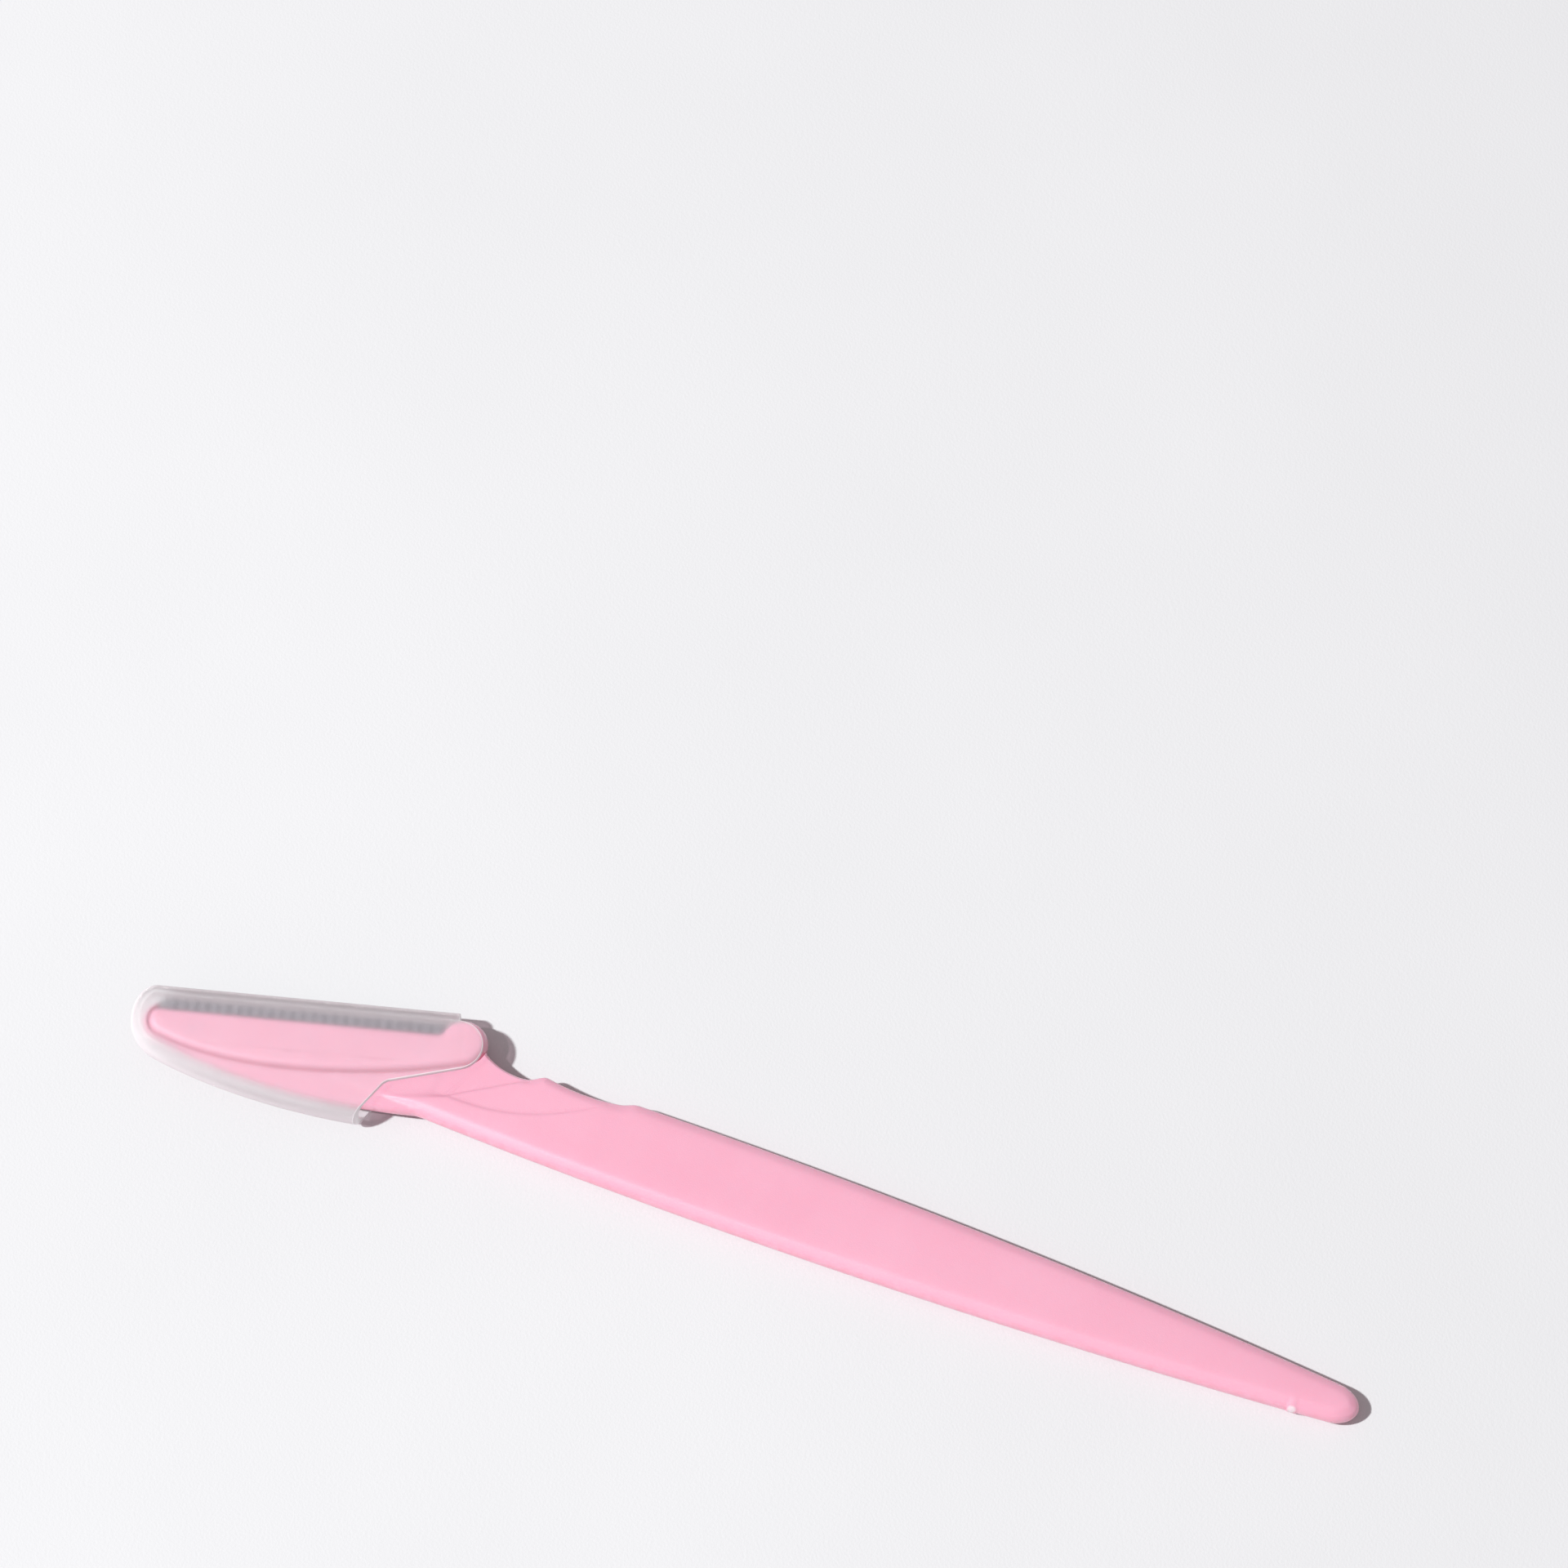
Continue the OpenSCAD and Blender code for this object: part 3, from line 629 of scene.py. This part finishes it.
run, corner_s, end_s = stations()
levels = [-s for s in run[::-1]] + run[1:]
cell = bmesh.new()
print("one rib has", len(levels), "stations round the fold")


def sheet_point(u, s):
    v, z = folded(s)
    x, y = place([[u, v]])[0]
    return Vector(to_part(np.array([[x, y]]), np.array([z]))[0])


def rib_half(shape, u0, side, flared=True):
    """Half of a rib, from its middle line at u0 towards side."""
    rows = []
    for s in levels:
        w = half_width(abs(s), corner_s) if flared else rib_w / 2
        rows.append([shape.verts.new(sheet_point(u0, s)), shape.verts.new(sheet_point(u0 + side * w, s))])
    for a, b in zip(rows, rows[1:]):
        shape.faces.new((a[0], a[1], b[1], b[0]) if side > 0 else (a[0], b[0], b[1], a[1]))


def strip_cell(shape, u0, u1, sign):
    """A piece of the strip that joins the ribs, on one face of the blade."""
    cuts = [u0, u0 + rib_w / 2, u0 + rib_w / 2 + window_r]
    cuts = cuts + [u0 + u1 - c for c in cuts[::-1]] if u1 - u0 > 1 else [u0, u1]
    rows = [[shape.verts.new(sheet_point(u, sign * s)) for u in cuts] for s in (corner_s, end_s)]
    for i in range(len(cuts) - 1):
        quad = (rows[0][i], rows[0][i + 1], rows[1][i + 1], rows[1][i])
        shape.faces.new(quad if sign > 0 else quad[::-1])


# %% The whole comb, laid out by Geometry Nodes
def socket(tree, name, kind, value, into="INPUT"):
    made = tree.interface.new_socket(name=name, in_out=into, socket_type=kind)
    if value is not None:
        made.default_value = value
    return made.identifier


def feed(tree, taker, value):
    """Gives an input a value, or links it to another node's output."""
    if isinstance(value, bpy.types.NodeSocket):
        tree.links.new(value, taker)
    else:
        taker.default_value = value


def add(tree, kind, settings=None, inputs=None):
    """One node, with its settings and its inputs as values or links."""
    made = tree.nodes.new(kind)
    for name, value in (settings or {}).items():
        setattr(made, name, value)
    for name, value in (inputs or {}).items():
        feed(tree, made.inputs[name], value)
    return made


def comb_tree(material):
    tree = bpy.data.node_groups.new("punched comb", "GeometryNodeTree")
    keys = {"Geometry": socket(tree, "Geometry", "NodeSocketGeometry", None),
            "Cells": socket(tree, "Cells", "NodeSocketInt", 2),
            "Step": socket(tree, "Step", "NodeSocketVector", None),
            "Weld": socket(tree, "Weld", "NodeSocketFloat", 0.00001)}
    socket(tree, "Geometry", "NodeSocketGeometry", None, "OUTPUT")
    given, out = tree.nodes.new("NodeGroupInput"), tree.nodes.new("NodeGroupOutput")
    row = add(tree, "GeometryNodeMeshLine", {"mode": "OFFSET"},
              {"Count": given.outputs["Cells"], "Offset": given.outputs["Step"]})
    laid = add(tree, "GeometryNodeInstanceOnPoints", None,
               {"Points": row.outputs["Mesh"], "Instance": given.outputs["Geometry"]})
    plain = add(tree, "GeometryNodeRealizeInstances", None, {"Geometry": laid.outputs["Instances"]})
    whole = add(tree, "GeometryNodeMergeByDistance", None,
                {"Geometry": plain.outputs["Geometry"], "Distance": given.outputs["Weld"]})
    dressed = add(tree, "GeometryNodeSetMaterial", None,
                  {"Geometry": whole.outputs["Geometry"], "Material": material})
    tree.links.new(dressed.outputs["Geometry"], out.inputs["Geometry"])
    return tree, keys


# %% [markdown]
# ## The cap
# The cap is one thin shell. The same net carries four height maps here: the outside and the
# cavity, each with a top and a bottom. They meet in the ring-shaped end face at the mouth,
# which is the bright line that the photograph shows across the head.

# %% Outlines of the cap
cap_c = [head_l + cap_tip_gap - cap_tip_r, cap_edge_gap - cap_tip_in]
corner_u, cap_join, cap_pitch = head_l + cap_tip_gap - cap_corner_l, 68, 0.25


def cap_loop(g):
    """The cavity's outline, moved out by g. It runs on past the mouth."""
    s, a = np.linspace(0, 1, 160), np.radians(np.linspace(0, 90, 40))[1:]
    back = plate_back(s, cap_back_gap + g)
    tip = np.concatenate([
        arc(cap_c, cap_tip_r + g, -cap_join, 0, 40),
        np.stack([corner_u + (cap_corner_l + g) * np.cos(a), cap_c[1] + (cap_tip_in + g) * np.sin(a)], -1)])
    back = back + (tip[0] - back[-1]) * s[:, None] ** 3
    start = -heel_back - heel_r - lobe_r
    loop = np.concatenate([[[start - 1, back[0, 1]]], back[:-1], tip, [[start - 1, cap_edge_gap + g]]])
    return even(anticlockwise(place(loop)), cap_pitch)


def mouth_plan():
    """The part of the head that the cap covers, with the mouth as its edge."""
    lobe = arc([-lobe_back, -lobe_in], lobe_r, 88, 360 - heel_join, 60)
    kink, corner = np.array([kink_u, -kink_in]), np.array([mouth_u, -head_w - cap_wall - cap_back_gap])
    away = [(p - q) / np.linalg.norm(p - q) for p, q in ((kink, lobe[-1]), (corner, kink))]
    over = cap_wall + cap_edge_gap + 1
    points = np.concatenate([[[2 * head_l, over], [-mouth_back, over]], lobe,
                             [kink - kink_bevel * away[0], kink + kink_bevel * away[1], corner + away[1],
                              [2 * head_l, corner[1] - 1]]])
    return even(anticlockwise(place(points)), cap_pitch)


# %% Build the cap
cap_out, cap_in, mouth = cap_loop(cap_wall), cap_loop(0), mouth_plan()
mouth_round = 0.07
lines = [cap_out, cap_in, mouth, *rings(cap_out, cap_edge, 10), *rings(cap_in, pad_edge, 6),
         *(inset(mouth, w) for w in (0.02, 0.045, 0.08))]
xy, triangles = net(lines, hatch(cap_out, 0.7))
triangles = triangles[inside(xy, triangles, cap_out)]
triangles = triangles[inside(xy, triangles, mouth)]
hollow = inside(xy, triangles, cap_in)
d, d_in, lip = depth(xy, cap_out), depth(xy, cap_in), depth(xy, mouth)
outer = cap_half * swell(d, cap_edge) - mouth_round * (1 - swell(lip, mouth_round)) * (d > 0.3)
inner = cap_in_half * swell(d_in, pad_edge)
d_edge = np.minimum(d, np.maximum(lip, 0))
rims, in_rims = rim(triangles).tolist(), {tuple(e) for e in rim(triangles[hollow]).tolist()}
n, count = len(xy), len(triangles)
points = np.concatenate([to_part(xy, outer), to_part(xy, -outer), to_part(xy, inner), to_part(xy, -inner)])
faces = triangles.tolist() + (triangles[:, ::-1] + n).tolist()
faces += (triangles[hollow][:, ::-1] + 2 * n).tolist() + (triangles[hollow] + 3 * n).tolist()
at_lip = np.abs(lip[triangles].mean(1)) < mouth_round
# The mouth's end face and the rounding beside it take the second finish: the pale cut wall, with a painted
# highlight along the rounding.
finish = [int(milky_highlit) for milky_highlit in at_lip] * 2 + [0] * (len(faces) - 2 * count)
for i, j in rims:
    at_mouth = int(max(lip[i], lip[j]) < 0.01)
    if (i, j) in in_rims:
        faces += [(i + 2 * n, j + 2 * n, j, i), (i + n, j + n, j + 3 * n, i + 3 * n)]
        finish += [at_mouth, at_mouth]
    else:
        faces.append((i + n, j + n, j, i))
        finish.append(at_mouth)
marks = {"edge": np.tile(np.exp(-d_edge / mark_w), 4), "outer": np.repeat([1.0, 0.0], 2 * n)}
cap = solid("cap_shell", points, faces, "cap", marks, finish)

# %% [markdown]
# ## Materials
# Every finish is a Principled surface with its colour, roughness and bump from nodes. Two
# effects are used more than once, so each is a node group: the fine grain of a moulded
# skin, and a noisy mask that reads a value stored with each mesh. On the pink plastic it
# reads the `edge` value and paints shade along the edges, and it whitens the gate's stub.

# %% Node groups for grain, and for painted edge shade and the gate's scar
def group(name, sockets_in, sockets_out):
    tree = bpy.data.node_groups.new(name, "ShaderNodeTree")
    for label, kind, value in sockets_in:
        socket(tree, label, kind, value)
    for label, kind in sockets_out:
        socket(tree, label, kind, None, "OUTPUT")
    return tree, tree.nodes.new("NodeGroupInput"), tree.nodes.new("NodeGroupOutput")


NUMBER, VECTOR = "NodeSocketFloat", "NodeSocketVector"


def grain_group():
    """Fine even grain for the bump, and broad soft patches for colour and gloss."""
    tree, given, out = group(
        "moulded grain",
        [("Place", VECTOR, None), ("Grain per metre", NUMBER, 4000), ("Patches per metre", NUMBER, 120)],
        [("Grain", NUMBER), ("Patches", NUMBER)])
    fine = add(tree, "ShaderNodeTexNoise", None, {"Vector": given.outputs["Place"],
               "Scale": given.outputs["Grain per metre"], "Detail": 2.0, "Roughness": 0.6})
    broad = add(tree, "ShaderNodeTexNoise", None, {"Vector": given.outputs["Place"],
                "Scale": given.outputs["Patches per metre"], "Detail": 3.0, "Roughness": 0.55})
    tree.links.new(fine.outputs["Fac"], out.inputs["Grain"])
    tree.links.new(broad.outputs["Fac"], out.inputs["Patches"])
    return tree


def scar_and_shade_group():
    """A stored value broken up by noise: painted shade along edges, and the gate's whitened scar."""
    tree, given, out = group(
        "edge wear", [("Place", VECTOR, None), ("Edge", NUMBER, 0), ("Reach", NUMBER, 0.5)],
        [("Scar and shade", NUMBER)])
    noise = add(tree, "ShaderNodeTexNoise", None,
                {"Vector": given.outputs["Place"], "Scale": 900.0, "Detail": 4.0})
    rubbed = add(tree, "ShaderNodeMath", {"operation": "MULTIPLY"},
                 {0: given.outputs["Edge"], 1: noise.outputs["Fac"]})
    mask = add(tree, "ShaderNodeMapRange", {"interpolation_type": "SMOOTHSTEP"},
               {"Value": rubbed.outputs[0], "From Min": 0.2, "From Max": given.outputs["Reach"]})
    tree.links.new(mask.outputs["Result"], out.inputs["Scar and shade"])
    return tree


grain, scar_and_shade = grain_group(), scar_and_shade_group()

# %% Shared parts of the materials
NOISE_RANGE = 0.3, 0.7  # nearly all values of a noise texture lie in it


def paint(name):
    """A new material: its tree, the Principled surface, the object's own coordinates."""
    made = bpy.data.materials.new(name)
    made.use_nodes = True
    tree = made.node_tree
    surface = next(n for n in tree.nodes if n.type == "BSDF_PRINCIPLED")
    where = tree.nodes.new("ShaderNodeTexCoord").outputs["Object"]
    return made, tree, surface, where


def use(tree, kind, **inputs):
    """A node group, with its inputs by name."""
    made = tree.nodes.new("ShaderNodeGroup")
    made.node_tree = kind
    for name, value in inputs.items():
        feed(tree, made.inputs[name.replace("_", " ")], value)
    return made


def blend(tree, factor, a, b):
    """Mixes two colours by a factor."""
    mix = tree.nodes.new("ShaderNodeMix")
    mix.data_type = "RGBA"
    for value, at in ((factor, 0), (a, 6), (b, 7)):
        feed(tree, mix.inputs[at], value)
    return mix.outputs[2]


def spread(tree, value, low, high, start=0.0, end=1.0):
    """Maps a mask onto the range from low to high."""
    made = add(tree, "ShaderNodeMapRange", None, {"Value": value, "From Min": start, "From Max": end,
                                                  "To Min": low, "To Max": high})
    return made.outputs["Result"]


def mottle(tree, surface, mask, low, high):
    """Gives the surface two near shades in soft patches."""
    colour = blend(tree, spread(tree, mask, 0, 1, *NOISE_RANGE), low, high)
    tree.links.new(colour, surface.inputs["Base Color"])
    return colour


def gloss(tree, surface, mask, low, high):
    """Lets the roughness vary from low to high with a mask."""
    tree.links.new(spread(tree, mask, low, high, *NOISE_RANGE), surface.inputs["Roughness"])


def maths(tree, operation, a, b):
    return add(tree, "ShaderNodeMath", {"operation": operation}, {0: a, 1: b}).outputs[0]


def bump(tree, surface, height, strength, distance, into="Normal"):
    made = add(tree, "ShaderNodeBump", None, {"Height": height, "Strength": strength, "Distance": distance})
    tree.links.new(made.outputs["Normal"], surface.inputs[into])


def mark(tree, label):
    """A value stored with the mesh's points."""
    return add(tree, "ShaderNodeAttribute", {"attribute_name": label}).outputs["Fac"]


# %% Pink moulded plastic
def pink_plastic():
    made, tree, surface, where = paint("pink plastic")
    skin = use(tree, grain, Place=where, Grain_per_metre=7000.0, Patches_per_metre=90.0)
    edge_shade = use(tree, scar_and_shade, Place=where, Edge=mark(tree, "edge"), Reach=0.62)
    torn = use(tree, scar_and_shade, Place=where, Edge=mark(tree, "scar"), Reach=0.5)
    base = mottle(tree, surface, skin.outputs["Patches"], (0.99, 0.455, 0.6, 1), (1, 0.485, 0.63, 1))
    # Painted shade: a darker, redder pink along the edges of the handle and the clamp.
    colour = blend(tree, edge_shade.outputs["Scar and shade"], base, (0.97, 0.4, 0.53, 1))
    colour = blend(tree, torn.outputs["Scar and shade"], colour, (1, 0.78, 0.84, 1))
    bounced = maths(tree, "MULTIPLY", tree.nodes.new("ShaderNodeLightPath").outputs["Is Diffuse Ray"], 0.65)
    tree.links.new(blend(tree, bounced, colour, (0.62, 0.26, 0.34, 1)), surface.inputs["Base Color"])
    gloss(tree, surface, skin.outputs["Patches"], 0.4, 0.5)
    surface.inputs["IOR"].default_value = 1.46
    surface.inputs["Subsurface Weight"].default_value = 0.35
    surface.inputs["Subsurface Radius"].default_value = (1, 0.45, 0.55)
    surface.inputs["Subsurface Scale"].default_value = 0.0012
    surface.inputs["Coat Weight"].default_value = 0.9
    surface.inputs["Coat Roughness"].default_value = 0.37
    bump(tree, surface, skin.outputs["Grain"], 0.4, 0.00003)
    sparkle = add(tree, "ShaderNodeTexNoise", None,
                  {"Vector": where, "Scale": 7000.0, "Detail": 2.0, "Roughness": 0.6})
    bump(tree, surface, sparkle.outputs["Fac"], 0.8, 0.000034, "Coat Normal")
    return made


# %% Frosted cap, and its milky mouth with a painted highlight
near_reach, far_reach, low_z = 0.0021, 0.0035, 0.003


def seen_only(made, tree, shader, where, inner, near, far, wall):
    """Lets the lamp's light pass straight on; the eye alone meets the surface.

    What lies inside the cap is close to it and is lit almost fully. The table outside is
    further off, or it meets an inner surface low down through the open mouth. There the
    cap's shadow is dark, and darkest behind a wall."""
    path = tree.nodes.new("ShaderNodeLightPath")
    length, passed = path.outputs["Ray Length"], path.outputs["Transparent Depth"]
    first, second = maths(tree, "LESS_THAN", passed, 0.5), maths(tree, "LESS_THAN", passed, 1.5)
    height = add(tree, "ShaderNodeSeparateXYZ", None, {0: where}).outputs["Z"]
    low_inside = maths(tree, "MULTIPLY", maths(tree, "LESS_THAN", height, low_z), inner)
    close_by = maths(tree, "MAXIMUM", maths(tree, "GREATER_THAN", length, near_reach), low_inside)
    outside = maths(tree, "MAXIMUM", maths(tree, "MULTIPLY", first, close_by),
                    maths(tree, "MULTIPLY", second, maths(tree, "GREATER_THAN", length, far_reach)))
    shade = blend(tree, spread(tree, mark(tree, "edge"), 0, 1, 0.1, 0.6), far, wall)
    tint = blend(tree, outside, near, shade)
    tint = blend(tree, path.outputs["Is Diffuse Ray"], tint, (0.93, 0.95, 0.94, 1))
    clear = add(tree, "ShaderNodeBsdfTransparent", None, {"Color": tint})
    seen = maths(tree, "MAXIMUM", path.outputs["Is Camera Ray"], path.outputs["Is Transmission Ray"])
    mix = add(tree, "ShaderNodeMixShader", None, {0: seen, 1: clear.outputs[0], 2: shader})
    output = next(n for n in tree.nodes if n.type == "OUTPUT_MATERIAL")
    tree.links.new(mix.outputs[0], output.inputs["Surface"])
    return made


def frosted_plastic():
    made, tree, surface, where = paint("frosted plastic")
    skin = use(tree, grain, Place=where, Grain_per_metre=2600.0, Patches_per_metre=260.0)
    mottle(tree, surface, skin.outputs["Patches"], (0.975, 0.965, 0.97, 1), (1, 0.99, 0.995, 1))
    gloss(tree, surface, skin.outputs["Grain"], 0.9, 1)
    surface.inputs["Transmission Weight"].default_value = 0.93
    surface.inputs["IOR"].default_value = 1.13
    surface.inputs["Coat Weight"].default_value = 0.2
    surface.inputs["Coat Roughness"].default_value = 0.35
    bump(tree, surface, skin.outputs["Grain"], 0.1, 0.00003)
    slant = add(tree, "ShaderNodeLayerWeight", None, {"Blend": 0.5}).outputs["Facing"]
    haze = add(tree, "ShaderNodeBsdfDiffuse", None, {"Color": (1, 0.93, 0.96, 1)})
    near_wall = spread(tree, mark(tree, "edge"), 0.3, 1, 0, 0.12)
    cloudy = maths(tree, "MULTIPLY", spread(tree, slant, 0, 0.75, 0.22, 0.75), near_wall)
    rim_haze = add(tree, "ShaderNodeMixShader", None,
                   {0: cloudy, 1: surface.outputs[0], 2: haze.outputs[0]})
    inner = maths(tree, "SUBTRACT", 1.0, mark(tree, "outer"))
    return seen_only(made, tree, rim_haze.outputs[0], where, inner,
                     (0.99, 0.98, 0.985, 1), (0.5, 0.42, 0.45, 1), (0.28, 0.23, 0.25, 1))


# Opaque pale plastic for the mouth: partly the thick wall's own pale look, partly a painted highlight of the
# rounded edge.
def milky_highlit_plastic():
    made, tree, surface, where = paint("milky mouth with painted highlight")
    skin = use(tree, grain, Place=where, Grain_per_metre=4000.0, Patches_per_metre=400.0)
    mottle(tree, surface, skin.outputs["Patches"], (1, 0.94, 0.97, 1), (1, 0.98, 0.99, 1))
    gloss(tree, surface, skin.outputs["Grain"], 0.35, 0.5)
    bump(tree, surface, skin.outputs["Grain"], 0.15, 0.00002)
    return seen_only(made, tree, surface.outputs[0], where, 1.0,
                     (0.96, 0.9, 0.92, 1), (0.42, 0.34, 0.36, 1), (0.28, 0.23, 0.25, 1))


# %% Steel and dark guard
def steel():
    made, tree, surface, where = paint("ground steel")
    turned = add(tree, "ShaderNodeMapping", None,
                 {"Vector": where, "Rotation": (0, 0, -tilt), "Scale": (1, 0.04, 1)})
    grinding = add(tree, "ShaderNodeTexNoise", None,
                   {"Vector": turned.outputs["Vector"], "Scale": 9000.0, "Detail": 3.0, "Roughness": 0.6})
    mottle(tree, surface, grinding.outputs["Fac"], (0.82, 0.84, 0.94, 1), (0.92, 0.94, 1, 1))
    gloss(tree, surface, grinding.outputs["Fac"], 0.2, 0.38)
    surface.inputs["Metallic"].default_value = 1.0
    bump(tree, surface, grinding.outputs["Fac"], 0.15, 0.00001)
    return made


def guard_metal():
    made, tree, surface, where = paint("dark guard metal")
    skin = use(tree, grain, Place=where, Grain_per_metre=9000.0, Patches_per_metre=700.0)
    mottle(tree, surface, skin.outputs["Patches"], (0.1, 0.1, 0.14, 1), (0.2, 0.2, 0.26, 1))
    gloss(tree, surface, skin.outputs["Grain"], 0.28, 0.42)
    surface.inputs["Metallic"].default_value = 0.85
    bump(tree, surface, skin.outputs["Grain"], 0.15, 0.00001)
    return made


pink, frosted, bright, dark = pink_plastic(), frosted_plastic(), steel(), guard_metal()
for piece, finish in ((handle, pink), (clamp, pink), (blade, bright), (cap, frosted), (cap, milky_highlit_plastic())):
    piece.data.materials.append(finish)

# %% Lay out the guard's ribs
rib_half(cell, rib_start + rib_w / 2, 1)
rib_half(cell, rib_start + rib_w / 2 + rib_pitch, -1)
for sign in (1, -1):
    strip_cell(cell, rib_start + rib_w / 2, rib_start + rib_w / 2 + rib_pitch, sign)
bmesh.ops.remove_doubles(cell, verts=cell.verts, dist=1e-6)
comb_mesh = bpy.data.meshes.new("comb cell")
cell.to_mesh(comb_mesh)
cell.free()
comb = bpy.data.objects.new("comb_cell", comb_mesh)
bpy.context.collection.objects.link(comb)
tree, keys = comb_tree(dark)
nodes = comb.modifiers.new("comb", "NODES")
nodes.node_group = tree
one, two = place([[0, 0], [rib_pitch, 0]])
nodes[keys["Cells"]] = rib_n - 1
nodes[keys["Step"]] = [(two[0] - one[0]) * MM, (two[1] - one[1]) * MM, 0.0]
comb.update_tag()
bpy.context.view_layer.update()
sheet = bpy.data.meshes.new_from_object(comb.evaluated_get(bpy.context.evaluated_depsgraph_get()))
bpy.data.objects.remove(comb)

# %% Close the comb's two ends and give the sheet its thickness
shape = bmesh.new()
shape.from_mesh(sheet)
last = rib_start + rib_w / 2 + rib_pitch * (rib_n - 1)
for u, side in ((rib_start + rib_w / 2, -1), (last, 1)):
    rib_half(shape, u, side, flared=False)
    for sign in (1, -1):
        strip_cell(shape, *sorted((u, u + side * rib_w / 2)), sign)
bmesh.ops.remove_doubles(shape, verts=shape.verts, dist=5e-6)
bmesh.ops.recalc_face_normals(shape, faces=shape.faces)
shape.to_mesh(sheet)
shape.free()
guard = bpy.data.objects.new("guard_comb", sheet)
bpy.context.collection.objects.link(guard)
thick = guard.modifiers.new("sheet thickness", "SOLIDIFY")
thick.thickness, thick.offset = guard_t * MM, 0
thick.use_even_offset = True
sheet.shade_smooth()
if not sheet.materials:
    sheet.materials.append(dark)
print("guard's sheet:", len(sheet.polygons), "faces before its thickness")

# %% [markdown]
# ## Tying the pieces to the frame
# Each mesh stands for the CAD node it was drawn from, and rides on that node's body, so
# that it follows the cap's slide.

# %% Replace the CAD nodes
for piece, node, body, slot in (
        (handle, "handle", "razor", "pink_plastic"), (clamp, "blade_clamp", "razor", "pink_plastic"),
        (blade, "blade", "razor", "steel"), (guard, "guard", "razor", "guard_metal"),
        (cap, "cap", "cap", "frosted_plastic")):
    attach(piece, body)
    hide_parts(node)

# %% [markdown]
# ## Table, light and camera
# The razor lies on white paper under one soft lamp at the left, with a pale sky to fill the
# shadows. The cap is thicker than the grip, so the razor rests on the cap's mouth and on its
# tail. The razor's own frame stays level, so the table is drawn with that small slope. The
# camera stands where the photographer's did. Its angle was worked out from the razor's own
# perspective, with the image taken as 1920 pixels square.

# %% Table
floor_mesh = bpy.data.meshes.new("table")
reach, lies_at, tail_at = 3.0, -0.0372, 0.0745
lift = (cap_half - half_t) * MM / (tail_at - lies_at)
corners = ((-reach, -reach), (reach, -reach), (reach, reach), (-reach, reach))
floor_mesh.from_pydata([(x, y, (x - lies_at) * lift) for x, y in corners], [], [(0, 1, 2, 3)])
table = bpy.data.objects.new("table", floor_mesh)
bpy.context.collection.objects.link(table)
paper, tree, surface, where = paint("white paper")
fibre = use(tree, grain, Place=where, Grain_per_metre=3200.0, Patches_per_metre=12.0)
mottle(tree, surface, fibre.outputs["Patches"], (0.82, 0.825, 0.84, 1), (0.85, 0.855, 0.87, 1))
surface.inputs["Roughness"].default_value = 0.8
surface.inputs["Specular IOR Level"].default_value = 0.2
bump(tree, surface, fibre.outputs["Grain"], 0.5, 0.000055)
floor_mesh.materials.append(paper)

# %% Directions in the photograph
turn = math.radians(23.086)
pitch = math.radians(24.6)
razor_at, top_of_grip = np.array([-30.432, -38.367]), half_t


def from_photo(v):
    """Turns a direction from the photograph's axes into the part's.

    The photograph's are to the right, up the picture, and up from the table."""
    x, y, z = v
    return Vector((x * math.cos(turn) - y * math.sin(turn), x * math.sin(turn) + y * math.cos(turn), z))


# %% Lamp and sky
lamp_far, lamp_high = 2.6, math.radians(51.5)
towards_lamp = Vector((-1, -0.17, 0)).normalized() * math.cos(lamp_high) + Vector((0, 0, math.sin(lamp_high)))
target = from_photo((0, 0, 0)) + Vector((0, 0, cap_half * MM))
lamp = bpy.data.lights.new("soft lamp", "AREA")
lamp.shape, lamp.size, lamp.energy = "DISK", 0.14, 66.5
lamp.color = (0.975, 1, 0.995)
lamp_object = bpy.data.objects.new("soft_lamp", lamp)
bpy.context.collection.objects.link(lamp_object)
lamp_object.location = target + from_photo(towards_lamp) * lamp_far
lamp_object.rotation_mode = "QUATERNION"
lamp_object.rotation_quaternion = from_photo(towards_lamp).to_track_quat("Z", "Y")
world = bpy.data.worlds.new("pale sky")
world.use_nodes = True
sky = next(n for n in world.node_tree.nodes if n.type == "BACKGROUND")
sky.inputs["Color"].default_value = (1, 0.9, 0.93, 1)
sky.inputs["Strength"].default_value = 0.3
bpy.context.scene.world = world

# %% Camera at the photograph's angle
camera = bpy.data.cameras.new("photograph")
camera.sensor_width, camera.lens = 36.0, 112.5
camera.clip_start, camera.clip_end = 0.01, 10
eye_far = 600
ahead, up, right = (0, math.sin(pitch), -math.cos(pitch)), (0, math.cos(pitch), math.sin(pitch)), (1, 0, 0)
eye = -eye_far * np.array(ahead) - [*razor_at, 0]
eye = np.array(from_photo(eye)) - [*middle, -cap_half - top_of_grip]
camera_object = bpy.data.objects.new("photograph", camera)
bpy.context.collection.objects.link(camera_object)
axes = Matrix([from_photo(right), from_photo(up), -from_photo(ahead)]).transposed()
camera_object.matrix_world = Matrix.Translation(Vector(eye * MM)) @ axes.to_4x4()
bpy.context.scene.camera = camera_object
bpy.context.scene.view_settings.view_transform = "Standard"
print("camera at", [round(v, 2) for v in eye], "mm")
